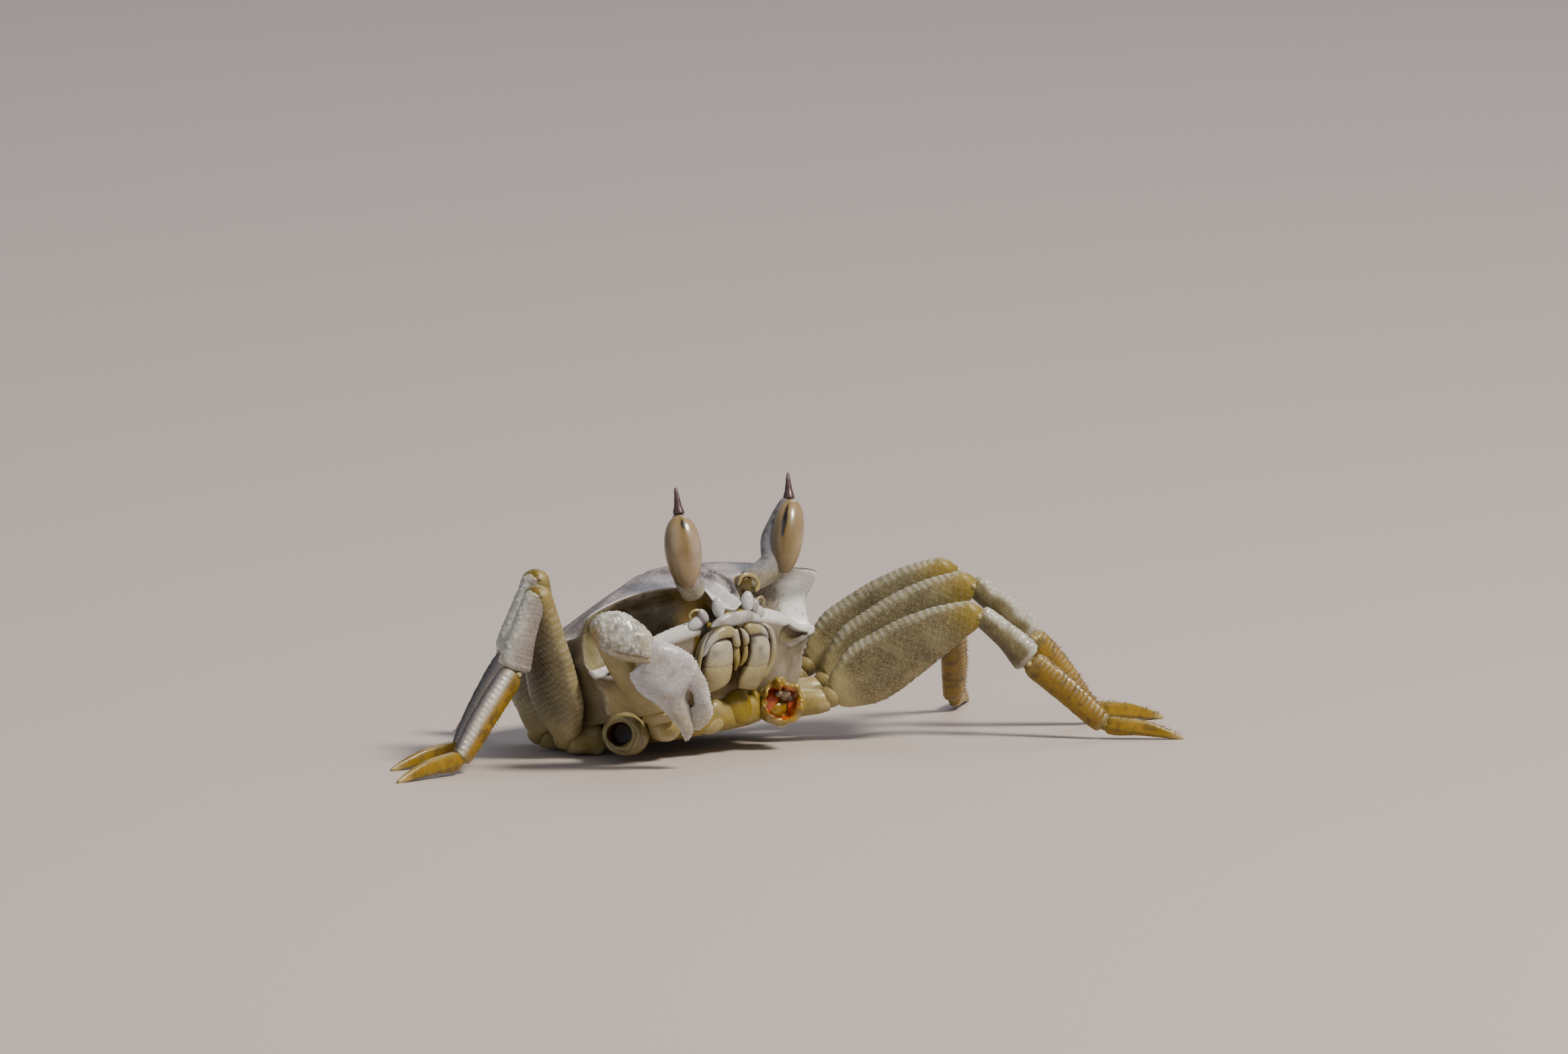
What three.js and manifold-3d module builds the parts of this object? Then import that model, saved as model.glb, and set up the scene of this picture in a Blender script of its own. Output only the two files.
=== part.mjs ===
// Horned ghost crab, life size, crouching on the floor with its eyes raised.
// Millimetres, +Z up, the crab faces -Y and its left side is +X. The floor is z = 0.
// The right claw is folded in front of the mouth. The left claw and the first right
// walking leg are lost, and end in their stumps.
import * as THREE from 'three';
import { mergeVertices } from 'three/addons/utils/BufferGeometryUtils.js';
import Module from 'manifold-3d';

const wasm = await Module();
wasm.setup();

// ---------------------------------------------------------------- driving dimensions
const CARAPACE_HALF_WIDTH = 22.8; // middle to the tip of an outer orbital tooth
const CARAPACE_REAR = 18.5; // y of the hind margin, from the middle of the carapace
const ROSTRUM_TIP = -20; // y of the tip of the front, between the eyes
const UNDERSIDE = -9.6; // lower edge of the carapace side walls
const BODY_HEIGHT = 16.6; // carapace middle above the floor
const BODY_PITCH = -10; // degrees, front raised
const BODY_ROLL = -4.5; // degrees, right side lower
const JOINT_GAP = 0.3; // clear space between neighbouring pieces
const FOOT_HEIGHT = 2.2; // middle of the joint above each foot
const TIP_HEIGHT = 0.12; // middle of a claw tip above the floor

// Article lengths of the walking legs: merus, carpus, propodus, dactyl.
const LEG_LENGTHS = {
  2: [26.3, 11.3, 15.5, 12.5],
  3: [27.5, 13, 17, 14],
  4: [27, 13.3, 17, 13.5],
  5: [15.5, 8, 10.5, 9.5],
};

// How each leg stands: where its merus starts, the compass headings of its four
// articles (0 is the crab's left, 90 its rear) and the rise of merus and carpus.
// The last two rises follow from the foot standing on the floor. A twist turns the
// broad faces of the merus about its length.
const LEGS = {
  leg_L2: { pair: 2, base: [23.1, -13.6, 7.2], heading: [-32, -28, -44, -38], rise: [29, -43] },
  leg_L3: { pair: 3, base: [26.2, -8.2, 8.7], heading: [-28, -22, -4, -6], rise: [33, -42] },
  leg_L4: { pair: 4, base: [26.9, -2.7, 10.6], heading: [-28, 50, 50, 42], rise: [33, -45] },
  leg_L5: { pair: 5, base: [18.4, 13.6, 6.0], heading: [48, 52, 54, 50], rise: [38, -36] },
  leg_R3: {
    pair: 3, base: [-19.6, -1.0, 2.9], heading: [-147, 165, 184, 188], rise: [63, -71], twist: 64,
  },
  leg_R4: {
    pair: 4, base: [-19.2, 6.3, 2.9], heading: [-129, 160, 178, 180], rise: [73, -70], twist: 50,
  },
  leg_R5: { pair: 5, base: [-14.2, 14.0, 3.6], heading: [100, 75, 140, 70], rise: [74, -58] },
};

// Half depth (back edge to belly edge) and half thickness of an article, and how far
// its middle line bows upwards, at fractions of its length.
const MERUS = [
  [0, 2.5, 1.5, 0],
  [0.08, 4.0, 2.0, 0.1],
  [0.28, 5.3, 2.3, 0.4],
  [0.5, 4.9, 2.2, 0.7],
  [0.74, 3.8, 2.0, 0.8],
  [0.92, 2.6, 1.8, 0.4],
  [1, 1.9, 1.5, 0],
];
const CARPUS = [
  [0, 1.2, 1.2, 0],
  [0.15, 1.8, 1.5, 0.2],
  [0.5, 2.1, 1.7, 0.4],
  [0.85, 2.6, 1.9, 0.2],
  [1, 2.3, 1.7, 0],
];
const PROPODUS = [
  [0, 1.6, 1.2, 0],
  [0.12, 2.2, 1.5, 0.1],
  [0.5, 2.2, 1.4, 0.3],
  [0.88, 1.9, 1.2, 0.1],
  [1, 1.5, 1.0, 0],
];
const DACTYL = [
  [0, 1.1, 0.9, 0],
  [0.12, 1.5, 1.1, 0.2],
  [0.45, 1.25, 0.95, 0.6],
  [0.8, 0.75, 0.65, 0.35],
  [1, 0.3, 0.3, 0],
];
const LEG_SIDES = 10;

// ---------------------------------------------------------------- finishes
const FINISHES = {
  shell: { color: 0xb9b7a6, roughness: 0.45, metalness: 0 },
  belly: { color: 0xcbc49a, roughness: 0.5, metalness: 0 },
  limb: { color: 0xaaa88e, roughness: 0.45, metalness: 0 },
  ochre: { color: 0xa9852c, roughness: 0.4, metalness: 0 },
  claw: { color: 0xd6d2cc, roughness: 0.4, metalness: 0 },
  cornea: { color: 0xc9b48f, roughness: 0.15, metalness: 0 },
  horn: { color: 0x6a5358, roughness: 0.5, metalness: 0 },
  wound: { color: 0xc46a2a, roughness: 0.35, metalness: 0 },
};
const material = (finish) => new THREE.MeshStandardMaterial(FINISHES[finish]);

// ---------------------------------------------------------------- small geometry tools
const V = (x, y, z) => new THREE.Vector3(x, y, z);
const rad = THREE.MathUtils.degToRad;
const UP = V(0, 0, 1);

// A closed skin over a stack of rings of equal point counts, its two ends closed by fans.
function skin(rings) {
  const count = rings[0].length;
  const points = rings.flat();
  const faces = [];
  for (let r = 0; r + 1 < rings.length; r++) {
    for (let i = 0; i < count; i++) {
      const a = r * count + i;
      const b = r * count + ((i + 1) % count);
      faces.push(a, b, b + count, a, b + count, a + count);
    }
  }
  const last = (rings.length - 1) * count;
  for (let i = 1; i + 1 < count; i++) {
    faces.push(0, i + 1, i);
    faces.push(last, last + i, last + i + 1);
  }
  return outward(points, faces);
}

// An indexed geometry whose faces point out, whichever way its faces were listed.
function outward(points, faces) {
  let volume = 0;
  for (let i = 0; i < faces.length; i += 3) {
    const [a, b, c] = [points[faces[i]], points[faces[i + 1]], points[faces[i + 2]]];
    volume += a.dot(V(0, 0, 0).crossVectors(b, c));
  }
  const index = volume < 0 ? faces.slice().reverse() : faces;
  const geometry = new THREE.BufferGeometry();
  const numbers = points.flatMap((p) => p.toArray());
  geometry.setAttribute('position', new THREE.Float32BufferAttribute(numbers, 3));
  geometry.setIndex(index);
  return geometry;
}

// The points of a geometry, and its faces without those of no area.
function pointsOf(geometry) {
  const position = geometry.getAttribute('position');
  return Array.from({ length: position.count }, (_, i) => V(0, 0, 0).fromBufferAttribute(position, i));
}
function facesOf({ index }) {
  const corners = (i) => [0, 1, 2].map((k) => index.getX(3 * i + k));
  const faces = Array.from({ length: index.count / 3 }, (_, i) => corners(i));
  return faces.filter((face) => new Set(face).size === 3).flat();
}

// A library geometry with its seams joined, as one closed skin.
function joined(geometry) {
  const bare = geometry.clone();
  bare.deleteAttribute('normal');
  bare.deleteAttribute('uv');
  const merged = mergeVertices(bare, 1e-4);
  return outward(pointsOf(merged), facesOf(merged));
}

// An oval section in the y-z plane at x, its back and belly edges drawn in to a ridge.
function oval(x, halfDepth, halfThickness, rise, sides, ridge = 0.8) {
  return Array.from({ length: sides }, (_, i) => {
    const turn = (2 * Math.PI * i) / sides;
    const side = Math.cos(turn);
    const across = Math.sign(side) * Math.abs(side) ** ridge * halfThickness;
    return V(x, across, rise + Math.sin(turn) * halfDepth);
  });
}

// A limb article along +X with its back edge on +Z, from a station table.
function article(length, stations, sides = LEG_SIDES, scale = 1) {
  return skin(stations.map(([at, depth, thickness, rise]) => (
    oval(at * length, depth * scale, thickness * scale, rise * scale, sides))));
}

// A closed Catmull-Rom ring through the control points.
function ring(controls, count) {
  return new THREE.CatmullRomCurve3(controls, true, 'centripetal').getPoints(count).slice(0, count);
}

function addMesh(parent, name, geometry, finish) {
  const mesh = new THREE.Mesh(geometry, material(finish));
  mesh.name = name;
  parent.add(mesh);
  return mesh;
}

// Lays an article from one point towards another, its back edge as near the given
// upward direction as it can be.
function lay(mesh, from, to, back = UP) {
  const along = to.clone().sub(from).normalize();
  const side = V(0, 0, 0).crossVectors(back, along).normalize();
  const top = V(0, 0, 0).crossVectors(along, side);
  mesh.quaternion.setFromRotationMatrix(new THREE.Matrix4().makeBasis(along, side, top));
  mesh.position.copy(from);
  return mesh;
}

const crab = new THREE.Group();
const body = new THREE.Group();
body.position.z = BODY_HEIGHT;
body.rotation.set(rad(BODY_PITCH), rad(BODY_ROLL), 0, 'XYZ');
crab.add(body);

// ---------------------------------------------------------------- carapace
// One row of the front half: a point for each column from the middle of the face out to
// the corner where the face meets the side wall. Columns: middle, side of the rostrum,
// its root, inner orbit, mid orbit, outer orbit, corner.
const FACE_COLUMNS = [0, 2.3, 3.4, 7.2, 12.5, 18, 22];
// Each row: y and z of its columns, and how far out the wall behind it stands.
const FACE_ROWS = [
  { // lower edge
    y: [-12.6, -12.6, -12.5, -12.2, -11.2, -9.6, -8.2],
    z: [-9.6, -9.6, -9.6, -9.6, -9.4, -9.3, -9.3],
    wall: 0.95,
  },
  { // cheek
    y: [-14.2, -14.2, -14.2, -15.0, -13.0, -11.0, -9.2],
    z: [-5.6, -5.6, -5.6, -5.8, -6, -6, -6],
    wall: 1.0,
  },
  { // lip under the orbit
    y: [-17.2, -17.2, -17.2, -17.0, -14.6, -12.0, -9.9],
    z: [2.0, 2.0, 2.1, 1.9, 0.6, -1.7, -2.6],
    wall: 1.015,
  },
  { // floor of the orbit
    y: [-16.0, -16.0, -15.8, -12.4, -9.6, -8.6, -9.0],
    z: [2.5, 2.5, 2.6, 2.2, 0.8, -1.2, -1.4],
    wall: 1.01,
  },
  { // back of the orbit
    y: [-16.2, -16.0, -15.4, -10.6, -8.6, -8.2, -9.4],
    z: [4.2, 4.4, 5.2, 5.4, 5.6, 5.0, 3.2],
    wall: 1.0,
  },
  { // under the brow
    y: [-19.0, -17.9, -16.0, -13.8, -13.0, -12.4, -12.0],
    z: [2.9, 3.6, 6.6, 7.5, 7.7, 6.9, 5.3],
    wall: 0.99,
  },
  { // brow
    y: [ROSTRUM_TIP, -18.9, -16.6, -14.4, -13.6, -12.9, -12.4],
    z: [3.5, 4.4, 7.6, 8.2, 8.4, 7.6, 6.1],
    wall: 0.985,
  },
];
const CORNER = FACE_COLUMNS.length - 1;
const TOOTH_ROW = 5; // the upper rows, from this one on, reach out to the outer tooth
const TOOTH_REACH = CARAPACE_HALF_WIDTH / FACE_COLUMNS[CORNER];
// The side wall behind the corner: x, y, and the height of its upper edge, which dips
// behind the outer tooth and falls towards the rear.
const WALL = [
  [22.3, -8.0, 3.2],
  [22.3, -3.0, 2.7],
  [21.7, 3.6, 1.9],
  [19.4, 10.2, 1.2],
  [14.0, 15.8, 1.0],
  [6.6, 18.3, 1.5],
  [0, CARAPACE_REAR, 1.9],
];
const WALL_LEVELS = [0, 0.25, 0.62, 0.74, 0.82, 0.93, 1]; // of the way up, row by row
const WALL_FOOT = UNDERSIDE + 0.3;
const FLOOR_SCALE = 0.82; // the flat underside against its outline
const BACK_MIDDLE_Y = -2;
const BACK_CREST = { y: -5, height: 11.5, slope: 0.13, curve: 0.006 };
const DOME_SCALES = [0.93, 0.8, 0.62, 0.4, 0.16];
const DOME_FULLNESS = 1.45;
const CARAPACE_POINTS = 44;

function carapaceRow(row, level) {
  const reach = level >= TOOTH_ROW ? TOOTH_REACH : 1;
  const front = FACE_COLUMNS.map((x, i) => V(i === CORNER ? x * reach : x, row.y[i], row.z[i]));
  const wall = WALL.map(([x, y, top]) => (
    V(x * row.wall, y * row.wall, WALL_FOOT + (top - WALL_FOOT) * WALL_LEVELS[level])));
  const half = [...front, ...wall];
  const mirrored = half.slice(1, -1).reverse().map((p) => V(-p.x, p.y, p.z));
  return ring([...half, ...mirrored], CARAPACE_POINTS);
}

// Height of the domed back along its middle line, falling behind its crest.
function backHeight(y) {
  const behind = y - BACK_CREST.y;
  return BACK_CREST.height - BACK_CREST.slope * behind - BACK_CREST.curve * behind ** 2;
}

function carapaceGeometry() {
  const rows = FACE_ROWS.map(carapaceRow);
  const floorRing = rows[0].map((p) => V(p.x * FLOOR_SCALE, p.y * FLOOR_SCALE, p.z));
  const rim = rows[rows.length - 1];
  const dome = DOME_SCALES.map((scale) => rim.map((p) => {
    const y = BACK_MIDDLE_Y + (p.y - BACK_MIDDLE_Y) * scale;
    return V(p.x * scale, y, p.z + (backHeight(y) - p.z) * (1 - scale ** DOME_FULLNESS));
  }));
  return skin([floorRing, ...rows, ...dome]);
}
addMesh(body, 'carapace', carapaceGeometry(), 'shell');

// ---------------------------------------------------------------- underside
// The sternum is a keel of rings: half width, front y, rear y, front z, rear z.
const STERNUM_LEVELS = [
  [8.5, -11.5, 4, -15.3, -15.1],
  [10.8, -13.4, 8, -14.6, -13.9],
  [12.6, -14.0, 12, -12.6, -11.6],
  [12.4, -13.4, 13, -10.9, -10.4],
  [11, -11.6, 12.4, -9.95, -9.95],
];

const STERNUM_POINTS = 22;

function sternumGeometry() {
  return skin(STERNUM_LEVELS.map(([wide, front, rear, frontZ, rearZ]) => {
    const at = (x, y) => V(x, y, frontZ + (rearZ - frontZ) * Math.max(0, y / rear) ** 2);
    const half = [
      at(wide * 0.7, front * 0.94),
      at(wide, front * 0.45),
      at(wide, rear * 0.4),
      at(wide * 0.72, rear * 0.85),
    ];
    const mirrored = half.map((p) => V(-p.x, p.y, p.z)).reverse();
    return ring([at(0, front), ...half, at(0, rear), ...mirrored], STERNUM_POINTS);
  }));
}
addMesh(body, 'sternum', sternumGeometry(), 'belly');

// The pleon (tail flap) runs from the hind margin down and forward under the belly.
const PLEON = [
  [0, 1.0, 5.6, 0],
  [0.3, 1.0, 5.4, 0],
  [0.6, 0.9, 4.2, 0.3],
  [0.85, 0.8, 2.8, 0.3],
  [1, 0.6, 1.6, 0.1],
];
lay(addMesh(body, 'pleon', article(16, PLEON, 12), 'belly'), V(0, 17.4, -8.2), V(0, 4.2, -14.4));

// ---------------------------------------------------------------- mouth and feelers
// Each outer mouth foot is a pair of plates hinged at the waist, in one piece.
const MOUTH_FOOT = [
  [0, 1.9, 0.7, 0],
  [0.06, 2.7, 0.95, 0],
  [0.4, 3.0, 1.05, 0],
  [0.68, 2.9, 1.05, 0],
  [0.74, 2.6, 0.85, 0],
  [0.8, 2.8, 1.05, 0],
  [0.96, 2.3, 0.9, -0.2],
  [1, 1.6, 0.6, -0.3],
];
const MOUTH_FOOT_LENGTH = 10.6;
const FEELER = [
  [0, 0.75, 0.7, 0],
  [0.25, 1.0, 0.95, 0],
  [0.7, 0.95, 0.9, 0],
  [1, 0.5, 0.5, 0],
];

for (const [side, sign] of [['L', 1], ['R', -1]]) {
  const foot = addMesh(body, `maxilliped_${side}`, article(MOUTH_FOOT_LENGTH, MOUTH_FOOT, 12), 'belly');
  lay(foot, V(sign * 3.3, -15.4, -9.9), V(sign * 3.15, -19.1, 0.3), V(sign, 0, 0));
  const feeler = addMesh(body, `antenna_${side}`, article(3.4, FEELER, 8), 'claw');
  lay(feeler, V(sign * 3.3, -18.6, 2.5), V(sign * 3.0, -19.3, 5.6), V(0, -1, 0));
}

// ---------------------------------------------------------------- eyes
// Each eye: root of its stalk, foot and head of the cornea, and the way the cornea faces.
const EYES = {
  L: {
    root: V(4.9, -16.9, 6.6), low: V(9.9, -20.6, 7.2), high: V(14.7, -20.1, 18.4),
    faces: V(0.6, -0.8, 0),
  },
  R: {
    root: V(-4.9, -16.9, 6.6), low: V(-8.7, -20.4, 7.9), high: V(-7.5, -19.8, 19.5),
    faces: V(-0.6, -0.8, 0),
  },
};
const CORNEA_HALF_WIDTH = 2.9;
const CORNEA_HALF_DEPTH = 2.5;
const CORNEA_STEPS = 8;
const CORNEA_SIDES = 12;
const STALK_BACK = 2.3; // how far the stalk's middle lies behind the cornea's
const STALK_RADIUS = 1.35;
const HORN_LENGTH = 3.7;
const LEFT_HORN_LEAN = -0.2; // towards the middle, against the line of its stalk
const HORN = [
  [0, 1.0, 1.0, 0],
  [0.15, 0.85, 0.85, 0],
  [0.55, 0.5, 0.5, 0],
  [1, 0.28, 0.28, 0],
];

// The cornea is egg-shaped, fuller above its middle.
function corneaGeometry(length) {
  const rings = [];
  for (let i = 0; i <= CORNEA_STEPS; i++) {
    const turn = Math.PI * (0.04 + 0.92 * (i / CORNEA_STEPS));
    const full = Math.sin(turn) * (1 - 0.07 * Math.cos(turn));
    const along = (length / 2) * (1 - Math.cos(turn));
    rings.push(oval(along, full * CORNEA_HALF_DEPTH, full * CORNEA_HALF_WIDTH, 0, CORNEA_SIDES, 1));
  }
  return skin(rings);
}

// A round rod of the given radii through the points of a curve.
function rod(points, radii, steps, sides) {
  const path = new THREE.CatmullRomCurve3(points);
  const frames = path.computeFrenetFrames(steps, false);
  const sizes = new THREE.CatmullRomCurve3(radii.map((r, i) => V(i / (radii.length - 1), r, 0)));
  const rings = [];
  for (let s = 0; s <= steps; s++) {
    const centre = path.getPointAt(s / steps);
    const radius = sizes.getPoint(s / steps).y;
    rings.push(Array.from({ length: sides }, (_, i) => {
      const turn = (2 * Math.PI * i) / sides;
      return centre.clone()
        .addScaledVector(frames.normals[s], Math.cos(turn) * radius)
        .addScaledVector(frames.binormals[s], Math.sin(turn) * radius);
    }));
  }
  return skin(rings);
}

for (const [side, eye] of Object.entries(EYES)) {
  const span = eye.high.clone().sub(eye.low);
  const axis = span.clone().normalize();
  const cornea = addMesh(body, `eye_${side}`, corneaGeometry(span.length()), 'cornea');
  lay(cornea, eye.low, eye.high, eye.faces);
  const behind = eye.faces.clone().multiplyScalar(-STALK_BACK);
  const foot = eye.low.clone().addScaledVector(behind, 0.75).addScaledVector(axis, -0.4);
  const mid = eye.low.clone().lerp(eye.high, 0.5).addScaledVector(behind, 1.1);
  const top = eye.high.clone().addScaledVector(behind, 0.25).addScaledVector(axis, 0.4);
  const stalk = rod([eye.root, foot, mid, top], [1.5, 2.0, STALK_RADIUS * 1.25, 1.15], 9, 10);
  addMesh(body, `eyestalk_${side}`, stalk, 'shell');
  const horn = addMesh(body, `horn_${side}`, article(HORN_LENGTH, HORN, 8), 'horn');
  const hornRoot = top.clone().addScaledVector(axis, JOINT_GAP);
  const upright = axis.clone().add(V(side === 'L' ? LEFT_HORN_LEAN : 0, 0, 0)).normalize();
  lay(horn, hornRoot, hornRoot.clone().addScaledVector(upright, HORN_LENGTH), eye.faces);
}

// ---------------------------------------------------------------- walking legs
const direction = (heading, rise) => V(
  Math.cos(rad(heading)) * Math.cos(rad(rise)),
  Math.sin(rad(heading)) * Math.cos(rad(rise)),
  Math.sin(rad(rise)),
);
const fallTo = (from, to, length) => -THREE.MathUtils.radToDeg(Math.asin((from - to) / length));

// Where each leg leaves the underside, in the body's own frame.
const COXA_ROOTS = {
  2: [14.6, -6.5, -13.2],
  3: [15.2, -0.6, -13.0],
  4: [14.6, 5.6, -12.2],
  5: [11.6, 11.6, -10.8],
};
const COXA = [
  [0, 2.3, 2.4, 0],
  [0.2, 2.7, 2.8, 0],
  [0.5, 2.3, 2.4, 0.1],
  [0.8, 2.0, 2.1, 0.1],
  [1, 1.4, 1.5, 0],
];
const HIP_DROP = 0.8; // the coxa meets the lower half of the merus
const PAIR_SCALE = { 2: 0.95, 3: 1, 4: 0.96, 5: 0.68 };
const ARTICLES = [
  { kind: 'merus', table: MERUS, finish: 'limb' },
  { kind: 'carpus', table: CARPUS, finish: 'limb' },
  { kind: 'propodus', table: PROPODUS, finish: 'ochre' },
  { kind: 'dactyl', table: DACTYL, finish: 'ochre' },
];

function coxaRoot(pair, sign) {
  const [x, y, z] = COXA_ROOTS[pair];
  return V(sign * x, y, z);
}

body.updateMatrixWorld(true);
const inWorld = (p) => p.clone().applyMatrix4(body.matrixWorld);

// The joints of a leg from its hip to the tip of its claw.
function legJoints(leg, lengths) {
  const joints = [V(...leg.base)];
  lengths.forEach((length, i) => {
    const from = joints[i];
    const landing = i === 2 ? FOOT_HEIGHT : TIP_HEIGHT;
    const rise = i < leg.rise.length ? leg.rise[i] : fallTo(from.z, landing, length);
    joints.push(from.clone().addScaledVector(direction(leg.heading[i], rise), length));
  });
  return joints;
}

function addLeg(name, leg) {
  const scale = PAIR_SCALE[leg.pair];
  const lengths = LEG_LENGTHS[leg.pair];
  const joints = legJoints(leg, lengths);
  const root = inWorld(coxaRoot(leg.pair, name.includes('L') ? 1 : -1));
  const hip = joints[0].clone().add(V(0, 0, -HIP_DROP));
  const coxa = article(root.distanceTo(hip), COXA, LEG_SIDES, scale);
  lay(addMesh(crab, `${name}_coxa`, coxa, 'belly'), root, hip);
  ARTICLES.forEach(({ kind, table, finish }, i) => {
    const shape = article(lengths[i], table, LEG_SIDES, scale);
    const piece = lay(addMesh(crab, `${name}_${kind}`, shape, finish), joints[i], joints[i + 1]);
    if (kind === 'merus') piece.rotateX(rad(leg.twist ?? 0));
  });
}
Object.entries(LEGS).forEach(([name, leg]) => addLeg(name, leg));

// ---------------------------------------------------------------- right claw
const OUTER_FACE = V(-0.62, -0.78, 0.1); // the way the outer face of the folded claw looks
const CLAW = {
  root: V(-9.3, -13.2, 5.0),
  merusBase: V(-12.9, -17.0, 6.8),
  wrist: V(-29.0, -21.4, 23.0),
  palmBase: V(-22.2, -25.4, 18.9),
  fixedTip: V(-14.4, -25.4, 4.7),
  fingerBase: V(-12.9, -25.6, 15.0),
  fingerTip: V(-13.6, -25.4, 5.4),
};
const CLAW_COXA = [
  [0, 2.2, 2.4, 0],
  [0.3, 2.6, 2.6, 0],
  [0.7, 2.4, 2.4, 0],
  [1, 1.6, 1.8, 0],
];
const CLAW_MERUS = [
  [0, 1.9, 1.8, 0],
  [0.15, 2.6, 2.3, 0],
  [0.5, 3.0, 2.5, 0.2],
  [0.85, 3.2, 2.4, 0.3],
  [1, 2.2, 1.8, 0],
];
const CLAW_CARPUS = [
  [0, 2.4, 1.8, 0.2],
  [0.18, 3.6, 2.6, 0.4],
  [0.5, 3.9, 2.8, 0.3],
  [0.82, 3.3, 2.5, -0.2],
  [1, 2.2, 1.8, -0.5],
];
const PALM = [
  [0, 1.9, 1.6, 0],
  [0.1, 2.9, 2.1, 0.1],
  [0.3, 4.0, 2.3, 0.3],
  [0.5, 3.9, 2.1, 0],
  [0.62, 2.5, 1.7, -1.1],
  [0.8, 1.5, 1.2, -0.9],
  [1, 0.4, 0.4, 0],
];
const FINGER = [
  [0, 1.2, 1.2, 0],
  [0.15, 1.7, 1.5, 0.4],
  [0.5, 1.4, 1.2, 1.3],
  [0.8, 1.0, 0.9, 0.8],
  [1, 0.45, 0.45, 0],
];
const CLAW_SIDES = 12;

function clawPiece(name, table, from, to, back, finish = 'claw') {
  const shape = article(from.distanceTo(to), table, CLAW_SIDES);
  return lay(addMesh(crab, name, shape, finish), from, to, back);
}
const palmLength = CLAW.fixedTip.clone().sub(CLAW.palmBase);
const palmWidth = V(0, 0, 0).crossVectors(OUTER_FACE, palmLength).normalize();
clawPiece('claw_coxa', CLAW_COXA, CLAW.root, CLAW.merusBase, UP, 'belly');
clawPiece('claw_merus', CLAW_MERUS, CLAW.merusBase, CLAW.wrist, UP);
clawPiece('claw_carpus', CLAW_CARPUS, CLAW.wrist, CLAW.palmBase, UP);
clawPiece('claw_palm', PALM, CLAW.palmBase, CLAW.fixedTip, palmWidth);
clawPiece('claw_finger', FINGER, CLAW.fingerBase, CLAW.fingerTip, palmWidth);

// ---------------------------------------------------------------- stumps
// The lost left claw: a short barrel with a raw, sunken end.
const BARREL = [
  [0, 2.6, 2.6, 0],
  [0.3, 3.2, 3.2, 0],
  [0.8, 3.1, 3.1, 0],
  [1, 2.3, 2.3, 0],
];
const barrel = addMesh(body, 'stump_L1', article(5.2, BARREL, 14), 'wound');
lay(barrel, V(8.4, -11.6, -12.6), V(11.6, -15.8, -12.4));

// The lost right leg: an open tube, a lathed wall closed round its blind inner end.
const TUBE_OUTER = 3.2;
const TUBE_BORE = 1.85;
const TUBE_LENGTH = 6.4;
const TUBE_DEPTH = 3.4;
function tubeGeometry() {
  const profile = [
    [0, 0],
    [TUBE_OUTER * 0.8, 0],
    [TUBE_OUTER, 1.2],
    [TUBE_OUTER * 0.96, TUBE_LENGTH - 0.5],
    [TUBE_OUTER * 0.84, TUBE_LENGTH],
    [TUBE_BORE, TUBE_LENGTH - 0.3],
    [TUBE_BORE * 0.9, TUBE_LENGTH - TUBE_DEPTH],
    [0, TUBE_LENGTH - TUBE_DEPTH - 0.3],
  ].map(([x, y]) => new THREE.Vector2(x, y));
  const geometry = new THREE.LatheGeometry(profile, 16);
  geometry.rotateX(Math.PI / 2);
  geometry.rotateY(Math.PI / 2);
  return joined(geometry);
}
lay(addMesh(body, 'stump_R2', tubeGeometry(), 'belly'), V(-15.2, -7.6, -12.8), V(-20.2, -12.0, -12.6));

// ---------------------------------------------------------------- fitting together
// A geometry as a solid, moved by a matrix.
function toSolid(geometry, matrix) {
  const moved = geometry.clone().applyMatrix4(matrix);
  return new wasm.Manifold(new wasm.Mesh({
    numProp: 3,
    vertProperties: Float32Array.from(moved.getAttribute('position').array),
    triVerts: Uint32Array.from(moved.index.array),
  }));
}

const CRUMB = 0.02; // edges shorter than about this are taken out after a cut
function fromSolid(solid) {
  const { vertProperties, triVerts } = solid.simplify(CRUMB).getMesh();
  const geometry = new THREE.BufferGeometry();
  geometry.setAttribute('position', new THREE.BufferAttribute(Float32Array.from(vertProperties), 3));
  geometry.setIndex(new THREE.BufferAttribute(Uint32Array.from(triVerts), 1));
  return geometry;
}

// The same geometry with every point moved out along its normal.
function grown(geometry, distance) {
  const result = geometry.clone();
  result.computeVertexNormals();
  const position = result.getAttribute('position');
  const normal = result.getAttribute('normal');
  for (let i = 0; i < position.count; i++) {
    const point = V(0, 0, 0).fromBufferAttribute(position, i);
    const way = V(0, 0, 0).fromBufferAttribute(normal, i);
    point.addScaledVector(way, distance);
    position.setXYZ(i, point.x, point.y, point.z);
  }
  result.deleteAttribute('normal');
  return result;
}

// The largest body of a solid, so that a cut leaves no loose crumbs.
function largest(solid) {
  return solid.decompose().reduce((best, one) => (one.volume() > best.volume() ? one : best));
}

crab.updateMatrixWorld(true);
const reach = (mesh) => new THREE.Box3().setFromObject(mesh, true).expandByScalar(JOINT_GAP);
const LEAST_OVERLAP = 1e-6; // mm³; less than this is no meeting

// Cuts a piece back so that it clears its neighbour by the joint gap, if they meet.
function clear(mesh, neighbour) {
  if (!reach(mesh).intersectsBox(reach(neighbour))) return;
  const toLocal = mesh.matrixWorld.clone().invert().multiply(neighbour.matrixWorld);
  const cutter = toSolid(grown(neighbour.geometry, JOINT_GAP), toLocal);
  const solid = toSolid(mesh.geometry, new THREE.Matrix4());
  if (solid.intersect(cutter).volume() < LEAST_OVERLAP) return;
  mesh.geometry = fromSolid(largest(solid.subtract(cutter)));
}

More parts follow.
